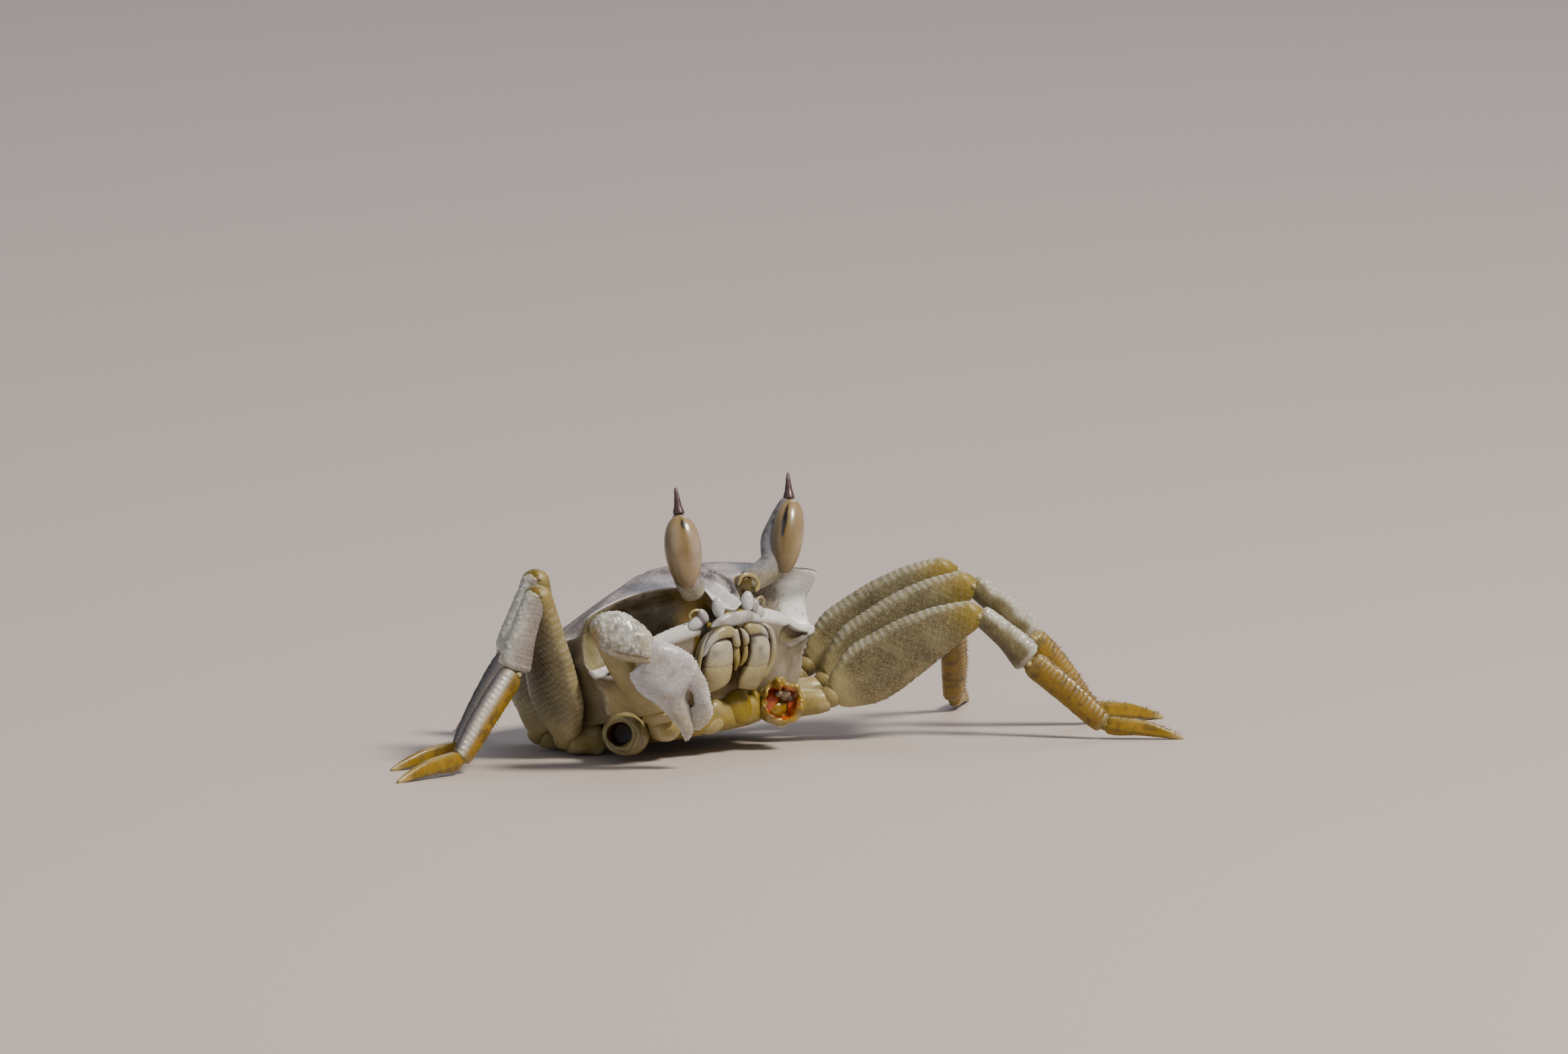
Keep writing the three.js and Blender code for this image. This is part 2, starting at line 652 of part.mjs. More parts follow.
// Flattens whatever would reach below the floor, which makes the small flats it rests on.
const FLOOR_SLAB = new THREE.BoxGeometry(400, 400, 40).translate(0, 0, -20);
function standOnFloor(mesh) {
  if (new THREE.Box3().setFromObject(mesh, true).min.z >= 0) return;
  const slab = toSolid(joined(FLOOR_SLAB), mesh.matrixWorld.clone().invert());
  mesh.geometry = fromSolid(largest(toSolid(mesh.geometry, new THREE.Matrix4()).subtract(slab)));
}

// Pieces named earlier here keep their shape where two meet, and later ones give way.
const KEEPS_SHAPE = [
  'eye_', 'eyestalk_', 'antenna_', 'maxilliped_', 'sternum', 'carapace', 'pleon',
  'claw_coxa', 'stump_', '_coxa', 'claw_merus', '_merus', 'claw_carpus', '_carpus',
  'claw_palm', 'claw_finger', '_propodus', '_dactyl', 'horn_',
];
const turn = (mesh) => KEEPS_SHAPE.findIndex((part) => mesh.name.includes(part));
const meshes = [];
crab.traverse((node) => {
  if (node.isMesh) meshes.push(node);
});
meshes.sort((a, b) => turn(a) - turn(b));
meshes.forEach((mesh, i) => meshes.slice(0, i).forEach((earlier) => clear(mesh, earlier)));
meshes.forEach(standOnFloor);

// ---------------------------------------------------------------- frame
// The origin is the middle of the crab's plan box, on the floor.
const model = new THREE.Group();
const middle = new THREE.Box3().setFromObject(crab, true).getCenter(V(0, 0, 0));
crab.position.set(-middle.x, -middle.y, 0);
model.add(crab);

export default model;
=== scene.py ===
"""Looks of a life-size horned ghost crab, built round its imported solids."""

import math
from types import SimpleNamespace

import bpy
import numpy as np
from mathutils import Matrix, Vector


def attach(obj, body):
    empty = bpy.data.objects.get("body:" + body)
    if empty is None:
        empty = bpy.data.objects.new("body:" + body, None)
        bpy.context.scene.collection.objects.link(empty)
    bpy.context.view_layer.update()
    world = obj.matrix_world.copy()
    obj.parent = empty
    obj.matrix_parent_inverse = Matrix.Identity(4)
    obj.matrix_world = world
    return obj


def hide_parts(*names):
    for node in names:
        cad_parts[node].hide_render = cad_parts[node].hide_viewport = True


bl_info = {
    "name": "Horned Ghost Crab",
    "version": (1, 0, 0),
    "blender": (4, 5, 0),
    "location": "View3D > Sidebar > Ghost Crab",
    "description": "Shell, eyes, claw, legs and stage of a life-size horned ghost crab",
    "category": "Object",
}

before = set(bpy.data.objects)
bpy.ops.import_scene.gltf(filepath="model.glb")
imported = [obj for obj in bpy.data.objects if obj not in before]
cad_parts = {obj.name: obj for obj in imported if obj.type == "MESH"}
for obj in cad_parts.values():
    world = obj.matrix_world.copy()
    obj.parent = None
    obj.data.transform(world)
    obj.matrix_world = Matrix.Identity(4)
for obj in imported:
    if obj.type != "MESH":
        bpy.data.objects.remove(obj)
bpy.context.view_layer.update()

MM = 0.001

# ------------------------------------------------------------------ colours


def linear(hexed):
    """An sRGB hex colour as linear red, green and blue."""
    parts = [int(hexed[i : i + 2], 16) / 255 for i in (0, 2, 4)]
    return tuple(((p + 0.055) / 1.055) ** 2.4 if p > 0.04045 else p / 12.92 for p in parts)


def colour_property(name, description, hexed):
    """A colour that the panel shows."""
    return bpy.props.FloatVectorProperty(
        name=name, description=description, subtype="COLOR", size=3, min=0, max=1, default=linear(hexed)
    )


class CrabColours(bpy.types.PropertyGroup):
    """The colours of the living shell, eyes and flesh."""

    pearl: colour_property("Pearl", "Bluish white of ridges and claw", "d0d3d6")
    lilac: colour_property("Lilac", "Pale lilac of the front and the back's high places", "aca4ac")
    slate: colour_property("Slate", "Purple-grey network on the back", "4b4550")
    sage: colour_property("Sage", "Grey-green of limbs and side walls", "86805c")
    olive: colour_property("Olive", "Olive brown inside the orbits and on limbs", "54461f")
    umber: colour_property("Umber", "Dark brown of seams and pits", "2a1606")
    cream: colour_property("Cream", "Cream of mouth feet and lower limbs", "ab9f72")
    straw: colour_property("Straw", "Yellow of the limbs' far ends and lobes", "86720a")
    ochre: colour_property("Ochre", "Ochre of the leg ends", "8a6c00")
    peach: colour_property("Peach", "Peach of the corneas", "968260")
    plum: colour_property("Plum", "Purple brown of the horns", "4a3437")
    flesh: colour_property("Flesh", "Orange of the raw stump", "b54c00")


class CrabSizes(bpy.types.PropertyGroup):
    """The sizes of the relief, in millimetres."""

    granule: bpy.props.FloatProperty(
        name="Granule", description="Spacing of the granules on back and claw", default=0.62, min=0.3, max=2
    )
    granule_height: bpy.props.FloatProperty(
        name="Granule height", description="How far a granule stands out", default=0.1, min=0, max=0.5
    )
    ruga: bpy.props.FloatProperty(
        name="Ruga", description="Spacing of the cross ridges on the limbs", default=1.15, min=0.5, max=3
    )
    bristle: bpy.props.FloatProperty(
        name="Bristle", description="Length of the bristles on the leg ends", default=0.75, min=0.2, max=2
    )


def palette():
    """The panel's colours by name, as arrays."""
    chosen = bpy.context.scene.crab_colours
    return {name: np.array(getattr(chosen, name)) for name in CrabColours.__annotations__}


# ------------------------------------------------------------------ numbers and noise


def unit(vectors):
    """Vectors of length one."""
    return vectors / np.maximum(np.linalg.norm(vectors, axis=-1, keepdims=True), 1e-9)


def ease(values, low=0.0, high=1.0):
    """0 below low, 1 above high and a smooth step between."""
    t = np.clip((np.asarray(values, float) - low) / (high - low), 0, 1)
    return t * t * (3 - 2 * t)


def hump(values, middle, width):
    """1 at the middle, falling like a bell to each side."""
    return np.exp(-(((np.asarray(values, float) - middle) / width) ** 2))


def cubic(start, end, leaving, arriving, t):
    """A curve from start (t = 0) to end (t = 1), with the given slopes at the two."""
    curve = start * (1 + 2 * t) * (1 - t) ** 2 + leaving * t * (1 - t) ** 2
    return curve + end * t * t * (3 - 2 * t) + arriving * t * t * (t - 1)


def through(stations, t):
    """Columns of a station table at places t, on curves that never overshoot."""
    table = np.array(stations, float)
    at, values = table[:, 0], table[:, 1:]
    step = np.diff(at)[:, None]
    slope = np.diff(values, axis=0) / step
    product = slope[1:] * slope[:-1]
    total = np.where(product > 0, slope[1:] + slope[:-1], 1)
    tangent = np.vstack([slope[:1], np.where(product > 0, 2 * product / total, 0), slope[-1:]])
    i = np.clip(np.searchsorted(at, t, side="right") - 1, 0, len(at) - 2)
    u = ((t - at[i]) / step[i, 0])[:, None]
    h = step[i]
    return cubic(values[i], values[i + 1], tangent[i] * h, tangent[i + 1] * h, u)


def spline(controls, per_span, closed):
    """A smooth curve through control points, or a sheet through control rows."""
    controls = np.array(controls, float)
    if closed:
        padded = np.concatenate([controls[-1:], controls, controls[:2]])
    else:
        first = 2 * controls[:1] - controls[1:2]
        last = 2 * controls[-1:] - controls[-2:-1]
        padded = np.concatenate([first, controls, last])
    p = [padded[k : len(padded) - 3 + k][:, None] for k in range(4)]
    chord = [np.linalg.norm(p[k + 1] - p[k], axis=-1, keepdims=True) for k in range(3)]
    gap = [np.sqrt(np.maximum(length, 1e-4)) for length in chord]
    t = np.linspace(0, 1, per_span, endpoint=False).reshape((1, -1) + (1,) * (controls.ndim - 1))
    into = ((p[1] - p[0]) / gap[0] - (p[2] - p[0]) / (gap[0] + gap[1]) + (p[2] - p[1]) / gap[1]) * gap[1]
    out = ((p[2] - p[1]) / gap[1] - (p[3] - p[1]) / (gap[1] + gap[2]) + (p[3] - p[2]) / gap[2]) * gap[1]
    curve = cubic(p[1], p[2], into, out, t).reshape((-1,) + controls.shape[1:])
    return curve if closed else np.concatenate([curve, controls[-1:]])


def sheet(rows, row_steps, column_steps):
    """A smooth skin through rows of controls, each row a closed ring."""
    rings = spline(rows, row_steps, False)
    return spline(rings.transpose(1, 0, 2), column_steps, True).transpose(1, 0, 2)


def rounding(distance, span, least):
    """How full a rounded end is at a distance from its tip: 1 from the span on.

    At the tip it is the root of least, so that the end keeps a small flat."""
    return np.sqrt(np.clip(1 - np.clip(1 - distance / span, 0, 1) ** 2, least, 1))


def chance(cells, seed):
    """A repeatable number from 0 to 1 for each whole-numbered cell."""
    n = cells[..., 0] * 73856093 ^ cells[..., 1] * 19349663 ^ cells[..., 2] * 83492791 ^ seed * 40503
    n = (n ^ (n >> 13)) * 1274126177 & 0xFFFFFFFF
    n = (n ^ (n >> 15)) * 668265263 & 0xFFFFFFFF
    return ((n >> 9) & 0xFFFF) / 65535


def ripple(points, size, seed=0):
    """Smooth noise from -1 to 1 whose lumps are about the given size."""
    scaled = points / size
    cell = np.floor(scaled).astype(np.int64)
    inside = scaled - cell
    weight = inside * inside * (3 - 2 * inside)
    total = np.zeros(points.shape[:-1])
    for corner in np.ndindex(2, 2, 2):
        share = np.prod(np.where(np.array(corner), weight, 1 - weight), axis=-1)
        total += share * chance(cell + np.array(corner), seed)
    return total * 2 - 1


def grains(points, size, seed=0):
    """How near each point is to the middle of a grain: 1 at its middle, 0 between grains."""
    scaled = points / size
    cell = np.floor(scaled).astype(np.int64)
    nearest = np.full(points.shape[:-1], 9.0)
    for offset in np.ndindex(3, 3, 3):
        neighbour = cell + np.array(offset) - 1
        middle = np.stack([chance(neighbour, seed + k) for k in range(3)], axis=-1) * 0.7 + 0.15
        nearest = np.minimum(nearest, np.linalg.norm(neighbour + middle - scaled, axis=-1))
    return np.clip(1 - nearest / 0.62, 0, 1)


def near_path(points, path, width):
    """1 on a line through the path's points, falling smoothly to 0 at the given distance."""
    path = np.array(path, float)
    nearest = np.full(points.shape[:-1], 1e9)
    for a, b in zip(path[:-1], path[1:]):
        along = b - a
        t = np.clip(((points - a) @ along) / (along @ along), 0, 1)
        nearest = np.minimum(nearest, np.linalg.norm(points - a - t[..., None] * along, axis=-1))
    return ease(1 - nearest / width)


def full_turn(count):
    """The angles of as many points evenly round a ring."""
    return np.linspace(0, math.tau, count, endpoint=False)


def waves(turns):
    """Even ribs: 1 at each whole turn and 0 half way between."""
    return 0.5 + 0.5 * np.cos(math.tau * turns)


def tinted(base, *layers):
    """A colour, or one for each point: the base, then each (colour, mask) laid over it."""
    result = np.array(base, float)
    for colour, mask in layers:
        share = np.clip(np.asarray(mask, float), 0, 1)[..., None]
        result = result * (1 - share) + np.asarray(colour) * share
    return result


# ------------------------------------------------------------------ where the body is

MIDDLE = np.array([-10.783, 2.924, 0.0])  # carapace middle in the frame's plan
BODY_HEIGHT = 16.6  # of the carapace's middle above the floor
PITCH, ROLL = math.radians(-10), math.radians(-4.5)
BROW_MIDDLE = (0, -20, 3.5)  # the middle of the front's edge, in the body's axes


def turned(pitch, roll):
    """The turn of the body: nose up by the pitch, then leaning by the roll."""
    c, s = math.cos(pitch), math.sin(pitch)
    about_x = np.array([[1, 0, 0], [0, c, -s], [0, s, c]])
    c, s = math.cos(roll), math.sin(roll)
    about_y = np.array([[c, 0, s], [0, 1, 0], [-s, 0, c]])
    return about_x @ about_y


BODY_TURN = turned(PITCH, ROLL)


def on_floor(points):
    """Points measured on the floor from under the carapace's middle, in the frame, in mm."""
    return np.asarray(points, float) + MIDDLE


def on_body(points):
    """Points in the body's own tilted axes, in the frame, in mm."""
    return np.asarray(points, float) @ BODY_TURN.T + MIDDLE + np.array([0, 0, BODY_HEIGHT])


def view_axes(azimuth, elevation):
    """The right, forward and up directions of a view from its two angles in degrees."""
    az, el = math.radians(azimuth), math.radians(elevation)
    right = np.array([math.cos(az), math.sin(az), 0])
    forward = np.array([-math.sin(az) * math.cos(el), math.cos(az) * math.cos(el), -math.sin(el)])
    return right, forward, np.cross(right, forward)


def body_way(direction):
    """A direction in the body's own axes, in the frame."""
    return np.array(direction) @ BODY_TURN.T


# ------------------------------------------------------------------ meshes


def deselect():
    """Nothing selected, so that an operator acts on the new piece alone."""
    bpy.ops.object.select_all(action="DESELECT")


def write_look(mesh, tint, net, wet):
    """Each vertex's colour, net and gloss, for the materials to read."""
    colour = np.hstack([tint, np.ones((len(tint), 1))])
    layers = (
        ("tint", "FLOAT_COLOR", "color", colour),
        ("net", "FLOAT", "value", net),
        ("wet", "FLOAT", "value", wet),
    )
    for name, kind, field, values in layers:
        layer = mesh.attributes.new(name, kind, "POINT")
        layer.data.foreach_set(field, np.ascontiguousarray(values, np.float32).ravel())


def loft(name, rings, tint, net=0.0, wet=0.0):
    """A closed skin over a stack of rings in mm, drawn from a sphere of as many rings.

    tint is its colour, net how strong the dark network is and wet how glossy it is."""
    rows, columns, _ = rings.shape
    deselect()
    bpy.ops.mesh.primitive_uv_sphere_add(segments=columns, ring_count=rows + 1)
    piece = bpy.context.object
    piece.name = name
    mesh = piece.data
    ball = np.empty(len(mesh.vertices) * 3)
    mesh.vertices.foreach_get("co", ball)
    ball = ball.reshape(-1, 3)
    row = np.rint(np.arccos(np.clip(ball[:, 2], -1, 1)) / math.pi * (rows + 1)).astype(int) - 1
    column = np.rint(np.arctan2(ball[:, 1], ball[:, 0]) / math.tau * columns).astype(int) % columns

    def spread(values, *width):
        """The values of a grid of rings at the sphere's points, averaged at its poles."""
        grid = np.broadcast_to(np.asarray(values, float), (rows, columns, *width))
        picked = grid[np.clip(row, 0, rows - 1), column]
        picked[row < 0] = grid[0].mean(axis=0)
        picked[row >= rows] = grid[-1].mean(axis=0)
        return picked

    mesh.vertices.foreach_set("co", (spread(rings, 3) * MM).ravel())
    write_look(mesh, spread(tint, 3), spread(net), spread(wet))
    point_outwards(piece)
    return piece


def point_outwards(piece):
    """Turns a closed mesh right side out, and shades it smooth."""
    mesh = piece.data
    mesh.update()
    mesh.calc_loop_triangles()
    corners = np.empty(len(mesh.loop_triangles) * 3, np.int32)
    mesh.loop_triangles.foreach_get("vertices", corners)
    co = np.empty(len(mesh.vertices) * 3)
    mesh.vertices.foreach_get("co", co)
    a, b, c = co.reshape(-1, 3)[corners.reshape(-1, 3)].transpose(1, 0, 2)
    if np.einsum("ij,ij->", a, np.cross(b, c)) < 0:
        mesh.flip_normals()
    deselect()
    piece.select_set(True)
    bpy.context.view_layer.objects.active = piece
    bpy.ops.object.shade_smooth()


def join(name, pieces):
    """Several pieces as one."""
    deselect()
    for piece in pieces:
        piece.select_set(True)
    bpy.context.view_layer.objects.active = pieces[0]
    if len(pieces) > 1:
        bpy.ops.object.join()
    pieces[0].name = name
    return pieces[0]


def settle(piece, material, slot, *nodes):
    """Gives a finished piece its material, and its place in the model."""
    piece.data.materials.append(material)
    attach(piece, "root")
    if nodes:
        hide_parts(*nodes)


def square_to(rings):
    """Directions square to a skin, all on the same side of it."""
    around = np.roll(rings, -1, axis=1) - np.roll(rings, 1, axis=1)
    along = np.gradient(rings, axis=0)
    return unit(np.cross(around, along))


def normals_of(rings):
    """Outward directions of a stack of rings."""
    normal = square_to(rings)
    outward = rings - rings.mean(axis=1, keepdims=True)
    return normal * np.sign((normal * outward).sum())


def body_normals(rings):
    """Outward directions on a skin whose rows fold in and out, from its domed top."""
    normal = square_to(rings)
    top = normal[-6:, :, 2].mean()
    return normal * (1 if top > 0 else -1)


def embossed(rings, relief):
    """Rings moved outwards by their relief, in mm."""
    return rings + normals_of(rings) * relief[..., None]


def placed(axis_from, axis_to, back, twist=0):
    """The directions of a limb article: along it, to its side and to its back."""
    along = unit(np.array(axis_to, float) - np.array(axis_from, float))
    side = unit(np.cross(back, along))
    top = np.cross(along, side)
    c, s = math.cos(math.radians(twist)), math.sin(math.radians(twist))
    return along, side * c + top * s, top * c - side * s


def article(axis_from, axis_to, back, stations, along, around, twist=0, ends=(0.04, 0.04), ridge=0.8):
    """Rings of a limb article, along of them with around points each, and where these lie.

    A station holds its place, the reach to the back and to the belly, the half thickness
    and the sideways bow. The places are at (0 to 1), height (-1 to 1) and side (-1 to 1)."""
    start = np.array(axis_from, float)
    length = np.linalg.norm(np.array(axis_to, float) - start)
    axis, side, top = placed(axis_from, axis_to, back, twist)
    even = np.linspace(0, 1, along)
    at = even - 0.06 * np.sin(math.tau * even)
    back_reach, belly_reach, half, bow = through(stations, at).T
    closing = np.ones(along)
    for distance, span in ((at, ends[0]), (1 - at, ends[1])):
        closing *= rounding(distance, span, 0.02)
    turn = full_turn(around)
    height, across = np.sin(turn), np.sign(np.cos(turn)) * np.abs(np.cos(turn)) ** ridge
    reach = np.where(height > 0, back_reach[:, None], belly_reach[:, None])
    rings = (
        start
        + axis * (at * length)[:, None, None]
        + top * (reach * height * closing[:, None])[..., None]
        + side * ((half * closing)[:, None] * across + bow[:, None])[..., None]
    )
    shape = (along, around)
    places = {
        "at": np.broadcast_to(at[:, None], shape),
        "height": np.broadcast_to(height, shape),
        "side": np.broadcast_to(across, shape),
        "mm": np.broadcast_to((at * length)[:, None], shape),
        "up_mm": reach * height,
    }
    return rings, places


def even_table(stations, scale=1.0):
    """A table of (at, depth, thickness, rise) as (at, back, belly, half thickness, bow)."""
    return [
        (at, (depth + rise) * scale, (depth - rise) * scale, half * scale, 0)
        for at, depth, half, rise in stations
    ]


def lump(name, centre, radii, towards, tint, wet=0.5, around=24, along=16):
    """An egg-shaped lump whose longest radius points the given way, in frame mm."""
    centre = np.array(centre, float)
    axis = unit(np.array(towards, float))
    side = unit(np.cross([0.0, 1.0, 0.1], axis))
    other = np.cross(axis, side)
    lat = np.linspace(0, math.pi, along + 2)[1:-1, None, None]
    turn = full_turn(around)[None, :, None]
    rings = (
        centre
        + axis * np.cos(lat) * radii[2]
        + side * np.sin(lat) * np.cos(turn) * radii[0]
        + other * np.sin(lat) * np.sin(turn) * radii[1]
    )
    return loft(name, rings, tint, wet=wet)


def cones(name, roots, tips, radius, root_tint, tip_tint):
    """Many slim spines as one mesh, each a four-sided cone from its root to its tip."""
    roots, tips = np.array(roots, float), np.array(tips, float)
    deselect()
    bpy.ops.mesh.primitive_cone_add(vertices=4, radius1=1, radius2=0, depth=1, end_fill_type="TRIFAN")
    pattern = bpy.context.object
    corner = np.array([v.co for v in pattern.data.vertices])
    faces = [list(p.vertices) for p in pattern.data.polygons]
    bpy.data.objects.remove(pattern)
    axis = unit(tips - roots)
    side = unit(np.cross(axis, [0.31, 0.2, 0.93]))
    other = np.cross(axis, side)
    length = np.linalg.norm(tips - roots, axis=1)[:, None, None]
    points = (
        roots[:, None]
        + axis[:, None] * (corner[None, :, 2:3] + 0.5) * length
        + side[:, None] * corner[None, :, 0:1] * radius
        + other[:, None] * corner[None, :, 1:2] * radius
    )
    mesh = bpy.data.meshes.new(name)
    count = len(corner)
    all_faces = [[v + i * count for v in face] for i in range(len(roots)) for face in faces]
    mesh.from_pydata((points.reshape(-1, 3) * MM).tolist(), [], all_faces)
    piece = bpy.data.objects.new(name, mesh)
    bpy.context.scene.collection.objects.link(piece)
    high = np.tile(corner[:, 2] + 0.5, len(roots))[:, None]
    tint = np.asarray(root_tint) * (1 - high) + np.asarray(tip_tint) * high
    write_look(mesh, tint, np.zeros(len(high)), np.full(len(high), 0.3))
    return piece


# ------------------------------------------------------------------ walking legs

# Lengths of merus, carpus, propodus and dactyl in each pair of legs, in mm.
LEG_LENGTHS = {
    2: (26.3, 11.3, 15.5, 12.5),
    3: (27.5, 13, 17, 14),
    4: (27, 13.3, 17, 13.5),
    5: (15.5, 8, 10.5, 9.5),
}
PAIR_SCALE = {2: 0.95, 3: 1.0, 4: 0.96, 5: 0.68}
FOOT_HEIGHT = 2.2  # of the joint before the dactyl, above the floor
TIP_HEIGHT = 0.12
HIP_DROP = 0.8
KNEE_HOOD = 0.9  # how far a merus reaches past its joint, over the carpus

# Each leg: its pair, where its merus starts, the headings of its four articles (0 is the
# crab's left, 90 its rear), the rises of merus and carpus, and the twists of merus and
# lower articles about their own axes.
LEGS = {
    "leg_L2": (2, (23.1, -13.6, 7.2), (-32, -28, -44, -38), (29, -43), 0, 0),
    "leg_L3": (3, (26.2, -8.2, 8.7), (-28, -22, -4, -6), (33, -42), 0, 0),
    "leg_L4": (4, (26.9, -2.7, 10.6), (-28, 50, 50, 42), (33, -45), 0, 65),
    "leg_L5": (5, (18.4, 13.6, 6.0), (48, 52, 54, 50), (38, -36), 0, 0),
    "leg_R3": (3, (-19.6, -1.0, 2.9), (-147, 165, 184, 188), (63, -71), 64, 0),
    "leg_R4": (4, (-19.2, 6.3, 2.9), (-129, 160, 178, 180), (73, -70), 50, 0),
    "leg_R5": (5, (-14.2, 14.0, 3.6), (100, 75, 140, 70), (74, -58), 0, 0),
}
# Where each pair's coxae leave the body, on its left side.
COXA_ROOTS = {
    2: (14.6, -6.5, -13.2),
    3: (15.2, -0.6, -13.0),
    4: (14.6, 5.6, -12.2),
    5: (11.6, 11.6, -10.8),
}

# Stations of the articles: place along, half depth, half thickness and rise to the back.
COXA = [
    (0, 2.3, 2.4, 0),
    (0.2, 2.7, 2.8, 0),
    (0.5, 2.3, 2.4, 0.1),
    (0.8, 2.0, 2.1, 0.1),
    (1, 1.4, 1.5, 0),
]
MERUS = [
    (0, 1.9, 1.5, 0),
    (0.08, 3.5, 1.9, 0.1),
    (0.28, 5.3, 2.3, 0.4),
    (0.5, 4.9, 2.2, 0.7),
    (0.74, 3.8, 2.0, 0.8),
    (0.88, 2.85, 1.85, 0.5),
    (0.95, 2.3, 1.7, 0.3),
    (1.02, 1.75, 1.45, 0.1),
]
CARPUS = [
    (-0.05, 1.7, 1.5, 0),
    (0.12, 1.85, 1.55, 0.2),
    (0.5, 2.1, 1.7, 0.4),
    (0.85, 2.6, 1.9, 0.2),
    (0.97, 2.6, 1.85, 0),
    (1.03, 2.0, 1.5, 0),
]
PROPODUS = [
    (-0.03, 1.6, 1.2, 0),
    (0.12, 2.2, 1.5, 0.1),
    (0.5, 2.2, 1.4, 0.3),
    (0.88, 1.9, 1.2, 0.1),
    (1.02, 1.5, 1.0, 0),
]
DACTYL = [
    (-0.03, 1.1, 0.9, 0),
    (0.12, 1.5, 1.1, 0.2),
    (0.45, 1.25, 0.95, 0.6),
    (0.8, 0.75, 0.65, 0.35),
    (1, 0.3, 0.3, 0),
]


def heading(compass, rise):
    """A direction from its compass heading and its rise, in degrees."""
    c, r = math.radians(compass), math.radians(rise)
    return np.array([math.cos(c) * math.cos(r), math.sin(c) * math.cos(r), math.sin(r)])


def leg_joints(pair, base, headings, rises):
    """The joints of a leg, from its hip to the tip of its claw, on the floor's axes."""
    joints = [np.array(base, float)]
    for i, length in enumerate(LEG_LENGTHS[pair]):
        if i < 2:
            rise = rises[i]
        else:
            landing = FOOT_HEIGHT if i == 2 else TIP_HEIGHT
            rise = -math.degrees(math.asin(min(1, (joints[i][2] - landing) / length)))
        joints.append(joints[i] + heading(headings[i], rise) * length)
    return joints


def crescents(along, across, size):
    """Rows of small overlapping arcs like fish scales: 1 on their edges, 0 between."""
    row = np.floor(across / size)
    u = along / (1.5 * size) + 0.5 * (row % 2)
    v = across / size - row - 0.5
    bend = (u - np.floor(u)) - 0.35 - 1.1 * v * v
    return np.exp(-((bend / 0.16) ** 2)) * (1 - (1.8 * v) ** 4).clip(0, 1)


def merus_look(rings, p, sizes, c, left):
    """Relief and colours of a merus: crossed by ridges on its back, netted on its faces."""
    wander = ripple(rings, 2.5, 3)
    back = ease(p["height"], 0.68, 0.92)
    belly = ease(-p["height"], 0.75, 0.95)
    ridges = waves(p["mm"] / sizes.ruga + 0.4 * wander) ** 1.5
    middle = ease(p["at"], 0.05, 0.2) * ease(1 - p["at"], 0.03, 0.12)
    scales = crescents(p["mm"] + 0.4 * wander, p["up_mm"] + 0.3 * wander, 0.8) * (1 - back)
    beads = grains(rings, 0.9, 11)
    relief = 0.1 * back * ridges * middle + (0.03 if left else 0.05) * scales * middle
    relief += (0.16 if left else 0.0) * belly * beads * middle
    relief += 0.035 * grains(rings, sizes.granule * 0.8, 5)
    far = ease(p["at"], 0.72, 0.92)
    near_hip = ease(1 - p["at"], 0.72, 0.95)
    high = 0.5 + 0.5 * ripple(rings, 4, 8)
    patch = hump(p["at"], 0.5, 0.2) * ease(p["height"] + 0.2 * high, -0.4, 0.3)
    shadow = (0.3 * high + 0.35 * hump(p["at"], 0.5, 0.28)) * (1 - back)
    tint = tinted(
        c["sage"],
        (c["olive"], shadow + (0.0 if left else 0.75) * patch),
        (c["cream"], 0.5 * ease(-p["height"], 0.3, 0.9) + 0.75 * near_hip),
        (c["straw"], (0.85 if left else 0.5) * far * (1 - 0.6 * back)),
        (c["pearl"], (0.34 if left else 0.75) * back * (0.2 + 0.8 * ridges) * middle),
        (c["pearl"], (0.1 if left else 0.24) * scales * middle),
        (c["pearl"], (0.7 if left else 0.0) * belly * ease(beads, 0.5, 0.8) * ease(p["at"], 0.3, 0.6)),
    )
    net = (1.0 if left else 0.4) * middle * (1 - 0.8 * back) * (1 - 0.5 * far) + patch * 0.6
    return relief, tint, np.clip(net, 0, 1), 0.25 + 0.35 * back


def carpus_look(rings, p, sizes, c, left):
    """Relief and colours of a carpus: pearly and bumpy above, mottled olive below."""
    bumps = grains(rings, 0.75, 21)
    back = ease(p["height"] + 0.3 * ripple(rings, 2.0, 4), 0.2, 0.8)
    cross = waves(p["mm"] / (sizes.ruga * 0.6) + 0.3 * ripple(rings, 2, 6)) ** 2
    relief = 0.13 * ease(bumps, 0.1, 0.9) * back + 0.05 * cross * (1 - back)
    collar = ease(p["at"], 0.86, 0.95)
    tint = tinted(
        c["sage"],
        (c["olive"], (0.5 + 0.3 * ripple(rings, 1.2, 7)) * (1 - back)),
        (c["lilac"], 0.0 if left else 0.6 * (1 - back)),
        (c["pearl"], 0.15 * ease(bumps, 0.4, 0.9) + back * (0.45 + 0.35 * bumps)),
        (c["pearl"], 0.55 * collar),
        (c["cream"], 0.3 * collar),
        (c["straw"], 0.6 * ease(1 - p["at"], 0.9, 1.0)),
    )
    return relief, tint, 0.6 * (1 - back), 0.3 + 0.6 * back


